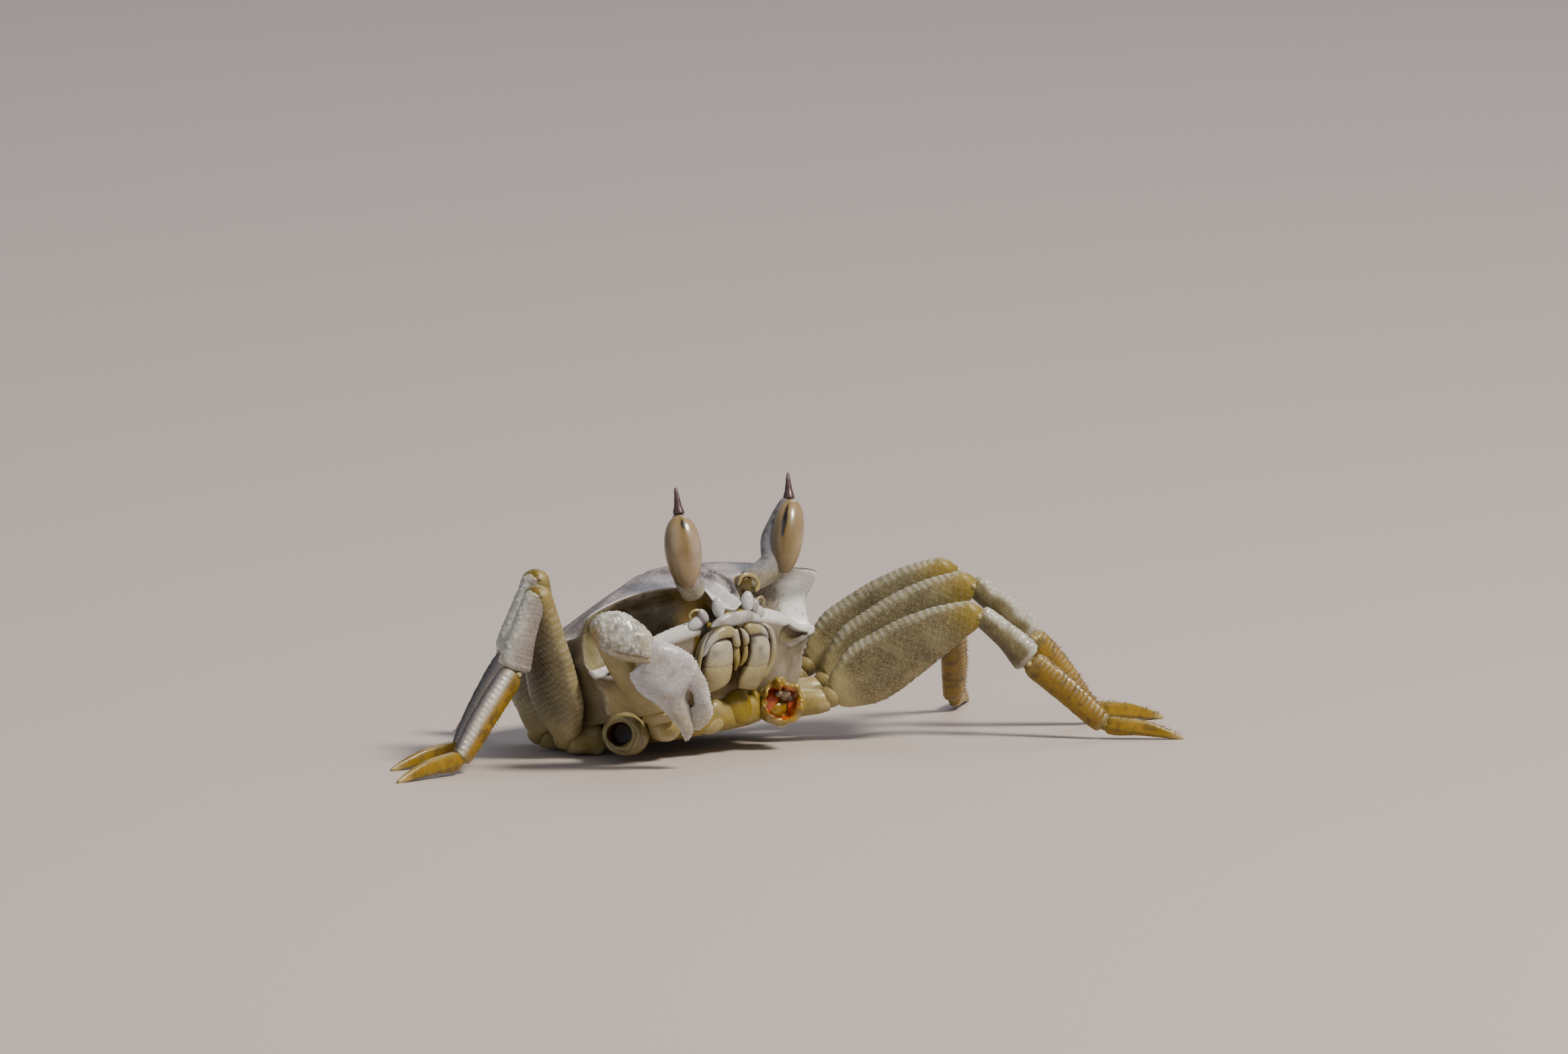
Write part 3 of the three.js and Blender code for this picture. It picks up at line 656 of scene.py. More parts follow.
def propodus_look(rings, p, sizes, c, left):
    """Relief and colours of a propodus: ochre faces under a beaded pearly edge, and a slate back that on
    the right legs is partly its own grey and partly painted shade.
    """
    front = p["side"] * (-1 if left else 1)
    edge = hump(p["height"], 0.62, 0.3) * ease(front, -0.2, 0.4)
    top = ease(p["height"], 0.75, 0.95)
    beads = waves(p["mm"] / (sizes.ruga * 0.75) + 0.35 * ripple(rings, 1.5, 19)) ** 2
    mottle = ripple(rings, 1.1, 14) + 0.6 * ripple(rings, 0.5, 15)
    relief = 0.13 * edge * beads + 0.07 * grains(rings, 0.8, 23) + 0.05 * ripple(rings, 1.5, 16)
    fore, tip = ease(1 - p["at"], 0.82, 0.98), ease(p["at"], 0.9, 1.0)
    tint = tinted(
        c["ochre"],
        (c["olive"] * 0.6, 0.55 * ease(mottle, 0.1, 0.7)),
        # slate on the back: on the left legs its own grey, on the right legs partly its own grey and partly
        # painted shade
        (c["slate"], (0.2 if left else 0.9) * top),
        (c["pearl"], edge * ((0.02 + 0.26 * beads) if left else 0.75)),
        (c["sage"], 0.3 * fore),
        (c["cream"], 0.45 * tip),
    )
    return relief, tint, 0.25 * (1 - edge), 0.5 + 0.35 * edge


def dactyl_look(rings, p, sizes, c, left):
    """Relief and colours of a dactyl: long ribs, ochre to a pale horn tip."""
    ribs = (0.5 + 0.5 * np.cos(6 * np.arctan2(p["height"], p["side"]))) ** 2
    relief = 0.09 * ribs * (1 - p["at"]) + 0.03 * grains(rings, 0.5, 31)
    tint = tinted(
        c["ochre"],
        (c["olive"] * 0.6, 0.5 * ease(ripple(rings, 0.9, 17), 0.0, 0.6)),
        (c["straw"], 0.5 * ribs),
        (c["cream"], 0.8 * ease(p["at"], 0.75, 1.0)),
    )
    return relief, tint, 0.1, 0.6


def coxa_look(rings, p, sizes, c, left):
    """Relief and colours of a coxa: smooth cream with a straw rim."""
    relief = 0.05 * grains(rings, 0.8, 41)
    tint = tinted(
        c["cream"],
        (c["straw"], 0.6 * ease(ripple(rings, 2.5, 18), -0.1, 0.5)),
        (c["umber"], 0.5 * ease(1 - p["at"], 0.85, 1.0)),
    )
    return relief, tint, 0.15, 0.5


# Each article past the coxa: its stations and look, how many rings it has and how many
# points each ring has, and the shares of its length in which its two ends are rounded.
ARTICLES = [
    ("merus", MERUS, merus_look, 150, 96, (0.03, 0.06)),
    ("carpus", CARPUS, carpus_look, 84, 72, (0.08, 0.08)),
    ("propodus", PROPODUS, propodus_look, 96, 64, (0.05, 0.04)),
    ("dactyl", DACTYL, dactyl_look, 72, 40, (0.06, 0.02)),
]


def dressed(name, rings, p, look, sizes, c, left):
    """An article with its relief and colours, its underside flat where it meets the floor."""
    relief, tint, net, wet = look(rings, p, sizes, c, left)
    raised = embossed(rings, relief)
    raised[..., 2] = np.maximum(raised[..., 2], 0)
    return loft(name, raised, tint, net, wet)


BRISTLE_RADIUS = 0.05
BRISTLE_CLEARANCE = 0.1  # above the floor, below which no bristle grows


def bristles(name, rings, chosen, sizes, c, seed):
    """Short bristles at the chosen points of an article, leaning to its far end."""
    rows, columns = np.nonzero(chosen)
    roots = rings[rows, columns]
    out = normals_of(rings)[rows, columns]
    lean = unit(rings[-1].mean(axis=0) - rings[0].mean(axis=0))
    wobble = np.random.default_rng(seed).normal(0, 0.25, roots.shape)
    way = unit(out + 0.7 * lean + wobble)
    length = sizes.bristle * np.random.default_rng(seed + 1).uniform(0.6, 1.1, (len(roots), 1))
    tips = roots + way * length
    clear = (tips[:, 2] > BRISTLE_CLEARANCE) & (roots[:, 2] > BRISTLE_CLEARANCE)
    sunk = roots - out * BRISTLE_RADIUS
    return cones(name, sunk[clear], tips[clear], BRISTLE_RADIUS, c["ochre"] * 0.5, c["straw"])


def scattered(shape, share, seed):
    """A repeatable choice of about the given share of a grid's points."""
    return np.random.default_rng(seed).random(shape) < share


def build_leg(name, sizes, c, materials):
    """One walking leg: coxa, four articles, joint skins and bristles."""
    pair, base, headings, rises, twist, lower_twist = LEGS[name]
    left = name.startswith("leg_L")
    outwards = 1 if left else -1
    scale = PAIR_SCALE[pair]
    joints = leg_joints(pair, base, headings, rises)
    root = on_body(np.array(COXA_ROOTS[pair]) * (outwards, 1, 1))
    joints = [on_floor(joint) for joint in joints]
    hip = joints[0] - (0, 0, HIP_DROP)
    rings, p = article(root, hip, (0, 0, 1), even_table(COXA, scale), 36, 48)
    coxa = dressed(f"{name}_coxa_shell", rings, p, coxa_look, sizes, c, left)
    settle(coxa, materials["limb"], "belly", f"{name}_coxa")
    seed = sum(ord(letter) for letter in name)
    hairs = []
    for i, (kind, table, look, along, around, ends) in enumerate(ARTICLES):
        turn = {"merus": twist, "propodus": lower_twist}.get(kind, 0)
        hood = unit(joints[i + 1] - joints[i]) * (KNEE_HOOD * scale if kind == "merus" else 0)
        stations = even_table(table, scale)
        start, end = joints[i], joints[i + 1] + hood
        rings, p = article(start, end, (0, 0, 1), stations, along, around, turn, ends)
        piece = dressed(f"{name}_{kind}_shell", rings, p, look, sizes, c, left)
        settle(piece, materials["limb"], "limb" if i < 2 else "ochre", f"{name}_{kind}")
        if kind in ("propodus", "dactyl"):
            edge = (p["height"] * outwards > 0.8) & (p["at"] > 0.12) & (p["at"] < 0.93)
            chosen = edge & scattered(edge.shape, 0.1, seed + i)
            hairs.append(bristles(f"{name}_{kind}_hair", rings, chosen, sizes, c, seed + i))
    settle(join(f"{name}_bristles", hairs), materials["bristle"], "ochre")
    settle(joint_skins(name, joints, scale, c), materials["membrane"], "limb")


# Radii of the skin at each of a leg's four joints, and of the pivots beside two of them.
SKIN_RADII = [(1.9, 1.9, 2.0), (1.35, 1.35, 1.5), (1.2, 1.2, 1.4), (0.85, 0.85, 1.0)]
PIVOT_RADII = (0.5, 0.5, 0.6)


def joint_skins(name, joints, scale, c):
    """The soft tan skin and pale pivots seen between a leg's articles."""
    lumps = []
    for i in range(4):
        axis = joints[i + 1] - joints[max(i - 1, 0)]
        radii = np.array(SKIN_RADII[i]) * scale
        sunk = joints[i] - (0, 0, 0.5 if i in (1, 2) else 0)
        skin = tinted(c["straw"], (c["olive"], 0.3), (c["cream"], 0.6 * (i == 0)))
        lumps.append(lump(f"{name}_skin_{i}", sunk, radii, axis, skin))
        if i in (1, 2):
            side = unit(np.cross((0, 0, 1), joints[i + 1] - joints[i]))
            for way in (-1, 1):
                spot = joints[i] + side * way * radii[0] * 0.95 - (0, 0, 0.4)
                pivot = np.array(PIVOT_RADII) * scale
                lumps.append(lump(f"{name}_pivot_{i}", spot, pivot, side, c["cream"], 0.8, 16, 10))
    return join(f"{name}_joint_skin", lumps)


# ------------------------------------------------------------------ carapace

HALF_WIDTH = 22.8  # to the tooth at each outer corner of the orbits
FACE_COLUMNS = [0, 2.3, 3.4, 7.2, 12.5, 18, 22]
CORNER = 6  # the column at the outer corner
# Rows of the face from its lower edge to the brow: y and z of its columns, how far out the
# wall behind it stands, and how far up that wall's height the row lies.
FACE_ROWS = [
    (
        [-12.6, -12.6, -12.5, -12.2, -11.2, -9.6, -8.2],
        [-10.4, -10.4, -10.4, -10.4, -10.5, -10.6, -10.6],
        0.84,
        0,
    ),
    (
        [-14.2, -14.2, -14.2, -15.0, -13.0, -11.0, -9.2],
        [-5.6, -5.6, -5.6, -5.8, -6, -6, -6],
        0.9,
        0.25,
    ),
    (
        [-17.2, -17.2, -17.2, -17.0, -14.6, -12.0, -9.9],
        [2.0, 2.0, 2.1, 1.9, 0.6, -1.7, -2.6],
        0.98,
        0.62,
    ),
    (
        [-16.0, -16.0, -15.8, -12.4, -9.6, -8.6, -9.0],
        [2.5, 2.5, 2.6, 2.2, 0.8, -1.2, -1.4],
        1.01,
        0.74,
    ),
    (
        [-16.2, -16.0, -15.4, -10.6, -8.6, -8.2, -9.4],
        [4.2, 4.4, 5.2, 5.4, 5.6, 5.0, 3.2],
        1.0,
        0.82,
    ),
    (
        [-19.0, -17.9, -16.0, -13.8, -13.0, -12.4, -12.0],
        [2.9, 3.6, 6.6, 7.5, 7.7, 6.9, 5.3],
        0.99,
        0.93,
    ),
    (
        [-20.0, -18.9, -16.6, -14.4, -13.6, -12.9, -12.4],
        [3.5, 4.4, 7.6, 8.2, 8.4, 7.6, 6.1],
        0.985,
        1,
    ),
]
TOOTH_ROW = 5  # from this row up, the corner is the tooth
# The side and rear wall, from the corner round to the middle of the rear: x, y and its top.
WALL = [
    (22.3, -8.0, 3.2),
    (22.3, -3.0, 2.7),
    (21.7, 3.6, 1.9),
    (19.4, 10.2, 1.2),
    (14.0, 15.8, 1.0),
    (6.6, 18.3, 1.5),
    (0, 18.5, 1.9),
]
WALL_FOOT = -10.6
DOME_SCALES = [0.93, 0.8, 0.62, 0.4, 0.2, 0.06]  # widths of the back's rows, to the rim's
DOME_FULLNESS = 1.45
BACK_MIDDLE_Y = -2
COLUMN_STEPS, ROW_STEPS = 14, 16  # points from one control column or row to the next
RIM_BEAD = 0.75  # spacing of the beads along the rims
LIP, BROW = 3, 7  # rows of the finished carapace, counted from the flat underside


def carapace_row(level):
    """Half of a row of the carapace, mirrored into a closed ring."""
    ys, zs, wall, up = FACE_ROWS[level]
    front = [[x, y, z] for x, y, z in zip(FACE_COLUMNS, ys, zs)]
    if level >= TOOTH_ROW:
        front[CORNER][0] = HALF_WIDTH
    else:
        front[CORNER - 1][0] *= min(1, wall)
        front[CORNER][0] *= min(1, wall)
    side = [[x * wall, y * wall, WALL_FOOT + (top - WALL_FOOT) * up] for x, y, top in WALL]
    half = np.array(front + side)
    return np.vstack([half, (half[1:-1] * (-1, 1, 1))[::-1]])


def back_height(y):
    """Height of the domed back along its middle line."""
    return 11.5 - 0.13 * (y + 5) - 0.006 * (y + 5) ** 2


def carapace_controls():
    """All control rows of the carapace, from the flat underside to the top of its back."""
    rows = [carapace_row(level) for level in range(len(FACE_ROWS))]
    floor = rows[0] * (0.82, 0.82, 1)
    rim = rows[-1]
    dome = []
    for scale in DOME_SCALES:
        y = BACK_MIDDLE_Y + (rim[:, 1] - BACK_MIDDLE_Y) * scale
        rise = (back_height(y) - rim[:, 2]) * (1 - scale**DOME_FULLNESS)
        dome.append(np.stack([rim[:, 0] * scale, y, rim[:, 2] + rise], axis=1))
    return np.array([floor, *rows, *dome])


# Furrows of the back, as plan points of its left half, with their width and depth.
FURROWS = [
    ([(2.6, -11.5), (3.6, -6.5), (5.6, -1.8), (4.6, 2.6), (6.4, 6.4), (5.2, 11.0), (3.2, 14.2)], 1.7, 0.42),
    ([(5.6, -1.8), (10.0, -4.2), (14.6, -4.4), (19.2, -6.2)], 1.8, 0.3),
    ([(4.6, 2.6), (1.6, 3.4), (0, 3.2)], 1.2, 0.22),
    ([(0, -13.5), (0, -8.5)], 0.8, 0.2),
    ([(3.1, -11.0), (2.7, -14.0), (2.5, -17.0)], 0.6, 0.3),
]
# The hollow under each orbit: its beaded rim, its middle and its reach along x, y and z.
PIT_RIM = [
    (10.5, -15.2, -0.7),
    (12.2, -14, -2.6),
    (14.2, -12.8, -3.9),
    (17, -11.8, -4.3),
    (19.6, -10.8, -3.6),
    (21.6, -9.8, -2.6),
]
PIT_MIDDLE = (15.9, -12.5, -2.5)
PIT_REACH = (4.9, 3.6, 1.75)
AMBER_SPOT = (4.6, -15.6, 4.6)  # where the skin shows amber beside the front
BUCCAL = {"half_width": 7.0, "low": -10.5, "high": 0.7}  # the mouth's dark frame


def carapace_zones(rings, u, v):
    """The parts of the carapace, each 1 on its points and falling to 0 round them.

    u counts control columns from the middle of the front, and v control rows from below."""
    zone = SimpleNamespace()
    folded = rings.copy()
    folded[..., 0] = np.abs(folded[..., 0])
    x, y, z = folded[..., 0], folded[..., 1], folded[..., 2]
    zone.back = ease(v, BROW + 0.1, BROW + 0.5)
    zone.outer = ease(x, 10, 21)
    zone.furrows = [(depth, near_path(folded[..., :2], path, width)) for path, width, depth in FURROWS]
    zone.under = ease(1.3 - v, 0, 0.5)
    zone.wall = (1 - zone.back) * ease(u, 5.8, 6.4)
    # The orbit: its hollow, its outer wall, its beaded edges and the pale band below it.
    zone.orbit = ease(u, 2.2, 2.8) * ease(6.6 - u, 0, 0.5)
    zone.rim = hump(v, BROW + 0.05, 0.16) * ease(u, 2.2, 3)
    zone.lip = hump(v, LIP + 0.1, 0.14) * zone.orbit
    zone.crest = hump(u, CORNER + 0.1, 0.22) * ease(v, 1.0, 1.6) * ease(6.2 - v, 0, 1)
    zone.hollow = zone.orbit * ease(v, LIP + 0.25, LIP + 0.6) * ease(BROW - 0.15 - v, 0, 0.3)
    zone.outer_wall = ease(u, 4.7, 5.5) * ease(7 - u, 0, 0.5)
    zone.band = ease(v, LIP - 0.3, LIP - 0.22) * ease(LIP + 0.42 - v, 0, 0.2)
    zone.band = zone.band * ease(u, 2.3, 2.9) * ease(6.3 - u, 0, 0.4)
    # The pit below the orbit, and the dark line round it.
    zone.pit_rim = near_path(folded, PIT_RIM, 0.6)
    away = np.linalg.norm((folded - PIT_MIDDLE) / PIT_REACH, axis=-1)
    zone.pit = ease(1 - away, 0, 0.2) * ease(LIP - v, 0.15, 0.3)
    zone.pit_line = hump(away, 0.95, 0.1) * ease(LIP - v, 0.1, 0.25)
    zone.pit_line += hump(v, LIP - 0.24, 0.06) * ease(1.1 - away, 0, 0.2)
    # The front between the eyes, with its middle groove and its raised edges.
    zone.rostrum = ease(2.6 - x, 0, 0.8) * ease(v, 5.6, 6.4) * ease(-y, 12.5, 15)
    zone.groove = hump(x, 0, 0.7) * ease(v, 6.9, 7.3)
    zone.edges = hump(x, 1.6, 0.5) * ease(v, 6.7, 7.1)
    # The face under the brow, and the frame in it that holds the mouth, dark partly in its own brown and
    # partly as painted shade behind the mouth feet.
    zone.face = ease(BROW - 0.2 - v, 0, 0.3) * ease(v, 0.9, 1.2)
    zone.mouth = ease(BUCCAL["half_width"] - x, 0, 0.6) * ease(BUCCAL["high"] - z, 0, 0.6)
    zone.mouth = zone.mouth * ease(z - BUCCAL["low"], 0, 1) * ease(-y, 9, 11)
    zone.amber = ease(1 - np.linalg.norm(folded - AMBER_SPOT, axis=-1) / 4.8, 0, 0.7)
    zone.amber = zone.amber * ease(v, 3.2, 4) * (1 - zone.back)
    zone.marbled = (0.55 + 0.45 * ease(y, -13, -4)) * ease(v, BROW + 0.3, BROW + 1.7)
    zone.netted = ease(v, BROW + 0.35, BROW + 0.9)
    zone.brow_edge = hump(v, BROW + 0.2, 0.35) * ease(u, 2, 3)
    zone.pit_floor = zone.pit * ease(-z, 2.2, 3.8)
    # painted light: 1 on the crab's left side, whose colours are made lit, 0 on its right, whose colours
    # are made shaded
    zone.left_side = ease(rings[..., 0], -4, 4)
    # painted shade: the crab's right cheek below the orbit, later darkened olive and warmed with straw
    zone.right_cheek = ease(-rings[..., 0], 6, 15) * ease(LIP + 0.3 - v, 0, 0.5)
    zone.crest_beads = grains(rings, 0.8, 51)
    return zone


def carapace_relief(rings, zone, sizes):
    """Granules, furrows, beaded edges and hollows of the carapace, in mm."""
    around = np.linalg.norm(np.diff(rings, axis=1, append=rings[:, :1]), axis=2)
    beads = waves(np.cumsum(around, axis=1) / RIM_BEAD)
    fine = grains(rings, sizes.granule, 52)
    coarse = grains(rings, sizes.granule * 1.6, 53)
    granules = sizes.granule_height * 0.55 * fine + sizes.granule_height * zone.outer * coarse
    relief = zone.back * (1 - zone.rostrum) * granules
    for depth, furrow in zone.furrows:
        relief -= depth * zone.back * furrow
    relief += zone.rim * (0.1 + 0.16 * beads) + zone.lip * (0.08 + 0.2 * beads)
    relief += zone.crest * (0.15 + 0.3 * zone.crest_beads)
    relief += 0.3 * zone.pit_rim - 0.9 * zone.pit
    relief += (zone.wall + 0.5 * zone.face * (1 - zone.orbit)) * 0.05 * fine
    swelling = 0.14 * ripple(rings, 1.3, 54)
    relief += zone.rostrum * (swelling - 0.5 * zone.groove + 0.35 * zone.edges)
    return relief + 0.3 * zone.band


def carapace_tint(rings, zone, c):
    """Colours of the carapace: lilac and slate above, grey-green below, pearly edges, with painted light on
    its left side and painted shade on its right cheek, right orbit wall and middle groove.
    """
    blotch = ripple(rings, 2.6, 55) + 0.5 * ripple(rings, 1.1, 56)
    specks = ease(ripple(rings, 0.45, 57), 0.35, 0.6)
    below = 1 - zone.back
    marbling = zone.back * (0.42 + 0.4 * blotch) * zone.marbled * (1 - 0.8 * zone.rostrum)
    # painted shade: slate along the front's middle groove; the blotchy part is the front's own slate
    groove_shade_and_blotches = 0.3 * zone.rostrum * zone.groove + 0.12 * zone.rostrum * ease(blotch, 0.2, 0.9)
    orbit_skin = 0.5 - 0.3 * zone.outer_wall + 0.3 * blotch
    orbit_wall = zone.hollow * zone.outer_wall
    # the crest's pearl is fainter on the crab's right side, as painted shade
    crest = zone.crest * (0.4 + 0.6 * zone.crest_beads) * (0.3 + 0.7 * zone.left_side)
    return tinted(
        c["sage"],
        (c["lilac"], 0.4 * below),
        (c["olive"], 0.3 + 0.25 * blotch * below),
        # painted shade on the crab's right cheek: olive, with a warm straw cast
        (c["olive"] * 0.9, 0.35 * zone.right_cheek),
        (c["straw"] * 0.8, 0.3 * zone.right_cheek),
        (c["lilac"], 0.9 * zone.back),
        (c["slate"], marbling),
        (c["pearl"] * 1.25, 0.85 * zone.rostrum + 0.5 * zone.brow_edge),
        # slate of the front: painted shade in its groove, and its own blotches
        (c["slate"], groove_shade_and_blotches),
        (c["olive"], zone.hollow * orbit_skin),
        # painted light: the left orbit's outer wall in pearl brighter than the shell's own; painted shade:
        # the same wall grey-green on the right
        (c["pearl"] * 1.7, orbit_wall * 0.97 * zone.left_side),
        (c["sage"], orbit_wall * 0.7 * (1 - zone.left_side)),
        (c["olive"] * 0.35, zone.hollow * specks * 0.7 * (1 - 0.7 * zone.outer_wall)),
        (c["ochre"] * 0.7, zone.amber),
        (c["cream"], 0.6 * zone.band),
        (c["pearl"] * 1.2, 0.9 * zone.band),
        (c["pearl"], 0.6 * zone.pit_rim * (1 - zone.band) + 0.7 * crest),
        (c["sage"], 0.8 * zone.pit),
        (c["olive"], 0.6 * zone.pit_floor),
        (c["umber"], 0.75 * zone.pit_line),
        # dark amber behind the mouth feet: partly the frame's own brown, partly painted shade of the cavity
        (c["ochre"] * 0.4, 0.94 * zone.mouth),
        (c["cream"], 0.8 * zone.under),
    )


def build_carapace(sizes, c, materials):
    """The carapace with its orbits, brow, front, furrows and granules."""
    rings = sheet(carapace_controls(), ROW_STEPS, COLUMN_STEPS)
    rows, columns, _ = rings.shape
    u = np.arange(columns) / COLUMN_STEPS
    u = np.broadcast_to(np.minimum(u, columns / COLUMN_STEPS - u), (rows, columns))
    v = np.broadcast_to((np.arange(rows) / ROW_STEPS)[:, None], (rows, columns))
    zone = carapace_zones(rings, u, v)
    relief = carapace_relief(rings, zone, sizes)
    tint = carapace_tint(rings, zone, c)
    net = np.clip(zone.back * (0.75 - 0.65 * zone.rostrum) * zone.netted + 0.2 * zone.wall, 0, 1)
    wet = 0.3 + 0.65 * zone.rostrum + 0.4 * zone.hollow * zone.outer_wall + 0.2 * zone.band
    rings = rings + body_normals(rings) * relief[..., None]
    piece = loft("carapace_shell", on_body(rings), tint, net, wet)
    settle(piece, materials["carapace"], "shell", "carapace")


# ------------------------------------------------------------------ underside

# Levels of the breastplate from below: its half width, front and rear edges, and the
# heights of the two.
STERNUM_LEVELS = [
    (8.5, -11.5, 4, -15.3, -15.1),
    (10.8, -13.4, 8, -14.6, -13.9),
    (12.6, -14.0, 12, -12.6, -11.6),
    (12.4, -13.4, 13, -10.9, -10.4),
    (11, -11.6, 12.4, -9.95, -9.95),
]
STERNUM_SEAMS = (-9.5, -5, -0.5, 4, 8.5)
# Lobes in front of the breastplate: centre, radii, the way the longest points, and colour.
LOBES = [
    ((-1.9, -13.2, -11.7), (1.7, 1.1, 1.6), (0.3, 0, 1), "cream"),
    ((-2.6, -12.8, -13.8), (1.6, 1.3, 2.6), (1, 0, 0.2), "cream"),
    ((2.7, -13.0, -12.0), (2.6, 1.5, 2.9), (0, 0.1, 1), "straw"),
    ((6.3, -12.6, -12.2), (0.9, 1.4, 2.7), (0, 0, 1), "straw"),
    ((-11.4, -11.6, -13.2), (1.4, 1.4, 2.2), (1, -0.3, 0.5), "straw"),
    ((-7.2, -12.6, -13.4), (1.5, 1.3, 2.4), (1, -0.2, 0.3), "straw"),
]
# Stations of the tail flap, as a leg article's, and its two ends on the body.
PLEON = [
    (0, 1.0, 5.6, 0),
    (0.3, 1.0, 5.4, 0),
    (0.6, 0.9, 4.2, 0.3),
    (0.85, 0.8, 2.8, 0.3),
    (1, 0.6, 1.6, 0.1),
]
PLEON_ENDS = ((0, 16.7, -10.6), (0, 4.2, -14.4))
PLEON_JOINTS = 6


def sternum_ring(wide, front, rear, front_z, rear_z):
    """One level of the breastplate as a closed ring of controls."""
    half = [
        (0, front),
        (wide * 0.7, front * 0.94),
        (wide, front * 0.45),
        (wide, rear * 0.4),
        (wide * 0.72, rear * 0.85),
        (0, rear),
    ]
    points = half + [(-x, y) for x, y in half[-2:0:-1]]
    return [(x, y, front_z + (rear_z - front_z) * max(0, y / rear) ** 2) for x, y in points]


def build_breastplate(c, materials):
    """The breastplate between the legs, with the lobes in front of it."""
    rings = sheet([sternum_ring(*level) for level in STERNUM_LEVELS], 10, 16)
    x, y = rings[..., 0], rings[..., 1]
    seams = sum(hump(y + 0.12 * np.abs(x), seam, 0.28) for seam in STERNUM_SEAMS)
    seams = seams * ease(np.abs(x), 1.5, 3) * ease(y, -10.5, -8)
    rings = rings - body_normals(rings) * (0.35 * seams)[..., None]
    blotch = ripple(rings, 3, 61)
    tint = tinted(
        c["cream"],
        (c["straw"], 0.8 + 0.2 * blotch),
        (c["umber"], 0.75 * seams + 0.5 * ease(rings[..., 2], -11.5, -10)),
    )
    pieces = [loft("breastplate", on_body(rings), tint, 0.15, 0.45)]
    for i, (centre, radii, way, colour) in enumerate(LOBES):
        tone = tinted(c[colour] * 0.85, (c["straw"], 0.3))
        pieces.append(lump(f"lobe_{i}", on_body(centre), radii, body_way(way), tone, 0.5))
    settle(join("breastplate_shell", pieces), materials["mouth"], "belly", "sternum")


def build_tail_flap(c, materials):
    """The tail flap, folded under the breastplate."""
    root, tip = (on_body(end) for end in PLEON_ENDS)
    rings, p = article(root, tip, (0, 0, 1), even_table(PLEON), 72, 64)
    joints = hump((p["at"] * PLEON_JOINTS) % 1, 0.5, 0.09)
    rings = embossed(rings, -0.25 * joints)
    tint = tinted(c["cream"], (c["straw"], 0.3), (c["umber"], 0.6 * joints))
    settle(loft("tail_flap", rings, tint, 0.1, 0.4), materials["mouth"], "belly", "pleon")


# ------------------------------------------------------------------ mouth and feelers

MOUTH_TOP = np.array([0, -19.5, 0.9])
MOUTH_DOWN = np.array([0, 0.347, -0.938])
MOUTH_OUT = np.array([0, -0.938, -0.347])


def on_mouth(x, down, out):
    """A point of the mouth's plane: across, down from its top and out from it, in mm."""
    place = MOUTH_TOP + np.multiply.outer(x, [1, 0, 0])
    return on_body(place + np.multiply.outer(down, MOUTH_DOWN) + np.multiply.outer(out, MOUTH_OUT))


def slab(edges, body, place, facing, per_span=10, around=56, ridge=0.75):
    """Rings of a plate drawn by its two edges, and where each point lies on it.

    An edge row holds a point of the left edge and one of the right, on the plate's own
    sheet. A body row holds a place along the plate, the half thickness and how far out it
    stands from the sheet."""
    drawn = spline(edges, per_span, False)
    at = np.linspace(0, 1, len(drawn))
    half, out = through(body, at).T
    left, right = place(drawn[:, 0], drawn[:, 1], out), place(drawn[:, 2], drawn[:, 3], out)
    turn = full_turn(around)
    side, front = np.sign(np.cos(turn)) * np.abs(np.cos(turn)) ** ridge, np.sin(turn)
    closing = rounding(np.minimum(at, 1 - at), 0.12, 0.03)
    rings = ((left + right) / 2)[:, None] + ((right - left) / 2)[:, None] * side[None, :, None]
    rings = rings + np.asarray(facing) * ((half * closing)[:, None] * front)[..., None]
    shape = (len(at), around)
    steps = np.linalg.norm(np.diff((left + right) / 2, axis=0), axis=1)
    mm = np.concatenate([[0], np.cumsum(steps)])
    places = {
        "at": np.broadcast_to(at[:, None], shape),
        "side": np.broadcast_to(side, shape),
        "front": np.broadcast_to(front, shape),
        "mm": np.broadcast_to(mm[:, None], shape),
    }
    return rings, places


def rod(points, radii, per_span, around):
    """Rings of a bent rod through the points, with its radii in turn."""
    centres = spline(points, per_span, False)
    at = np.linspace(0, 1, len(centres))
    size = through([(i / (len(radii) - 1), r) for i, r in enumerate(radii)], at)
    along = unit(np.gradient(centres, axis=0))
    front = np.array([0.0, -1.0, 0.0])
    front = unit(front - along * (along @ front)[:, None])
    side = np.cross(along, front)
    turn = full_turn(around)
    size = size * rounding(np.minimum(at, 1 - at), 0.07, 0.03)[:, None]
    spread = front[:, None] * np.cos(turn)[None, :, None] + side[:, None] * np.sin(turn)[None, :, None]
    return centres[:, None] + spread * size[:, None]


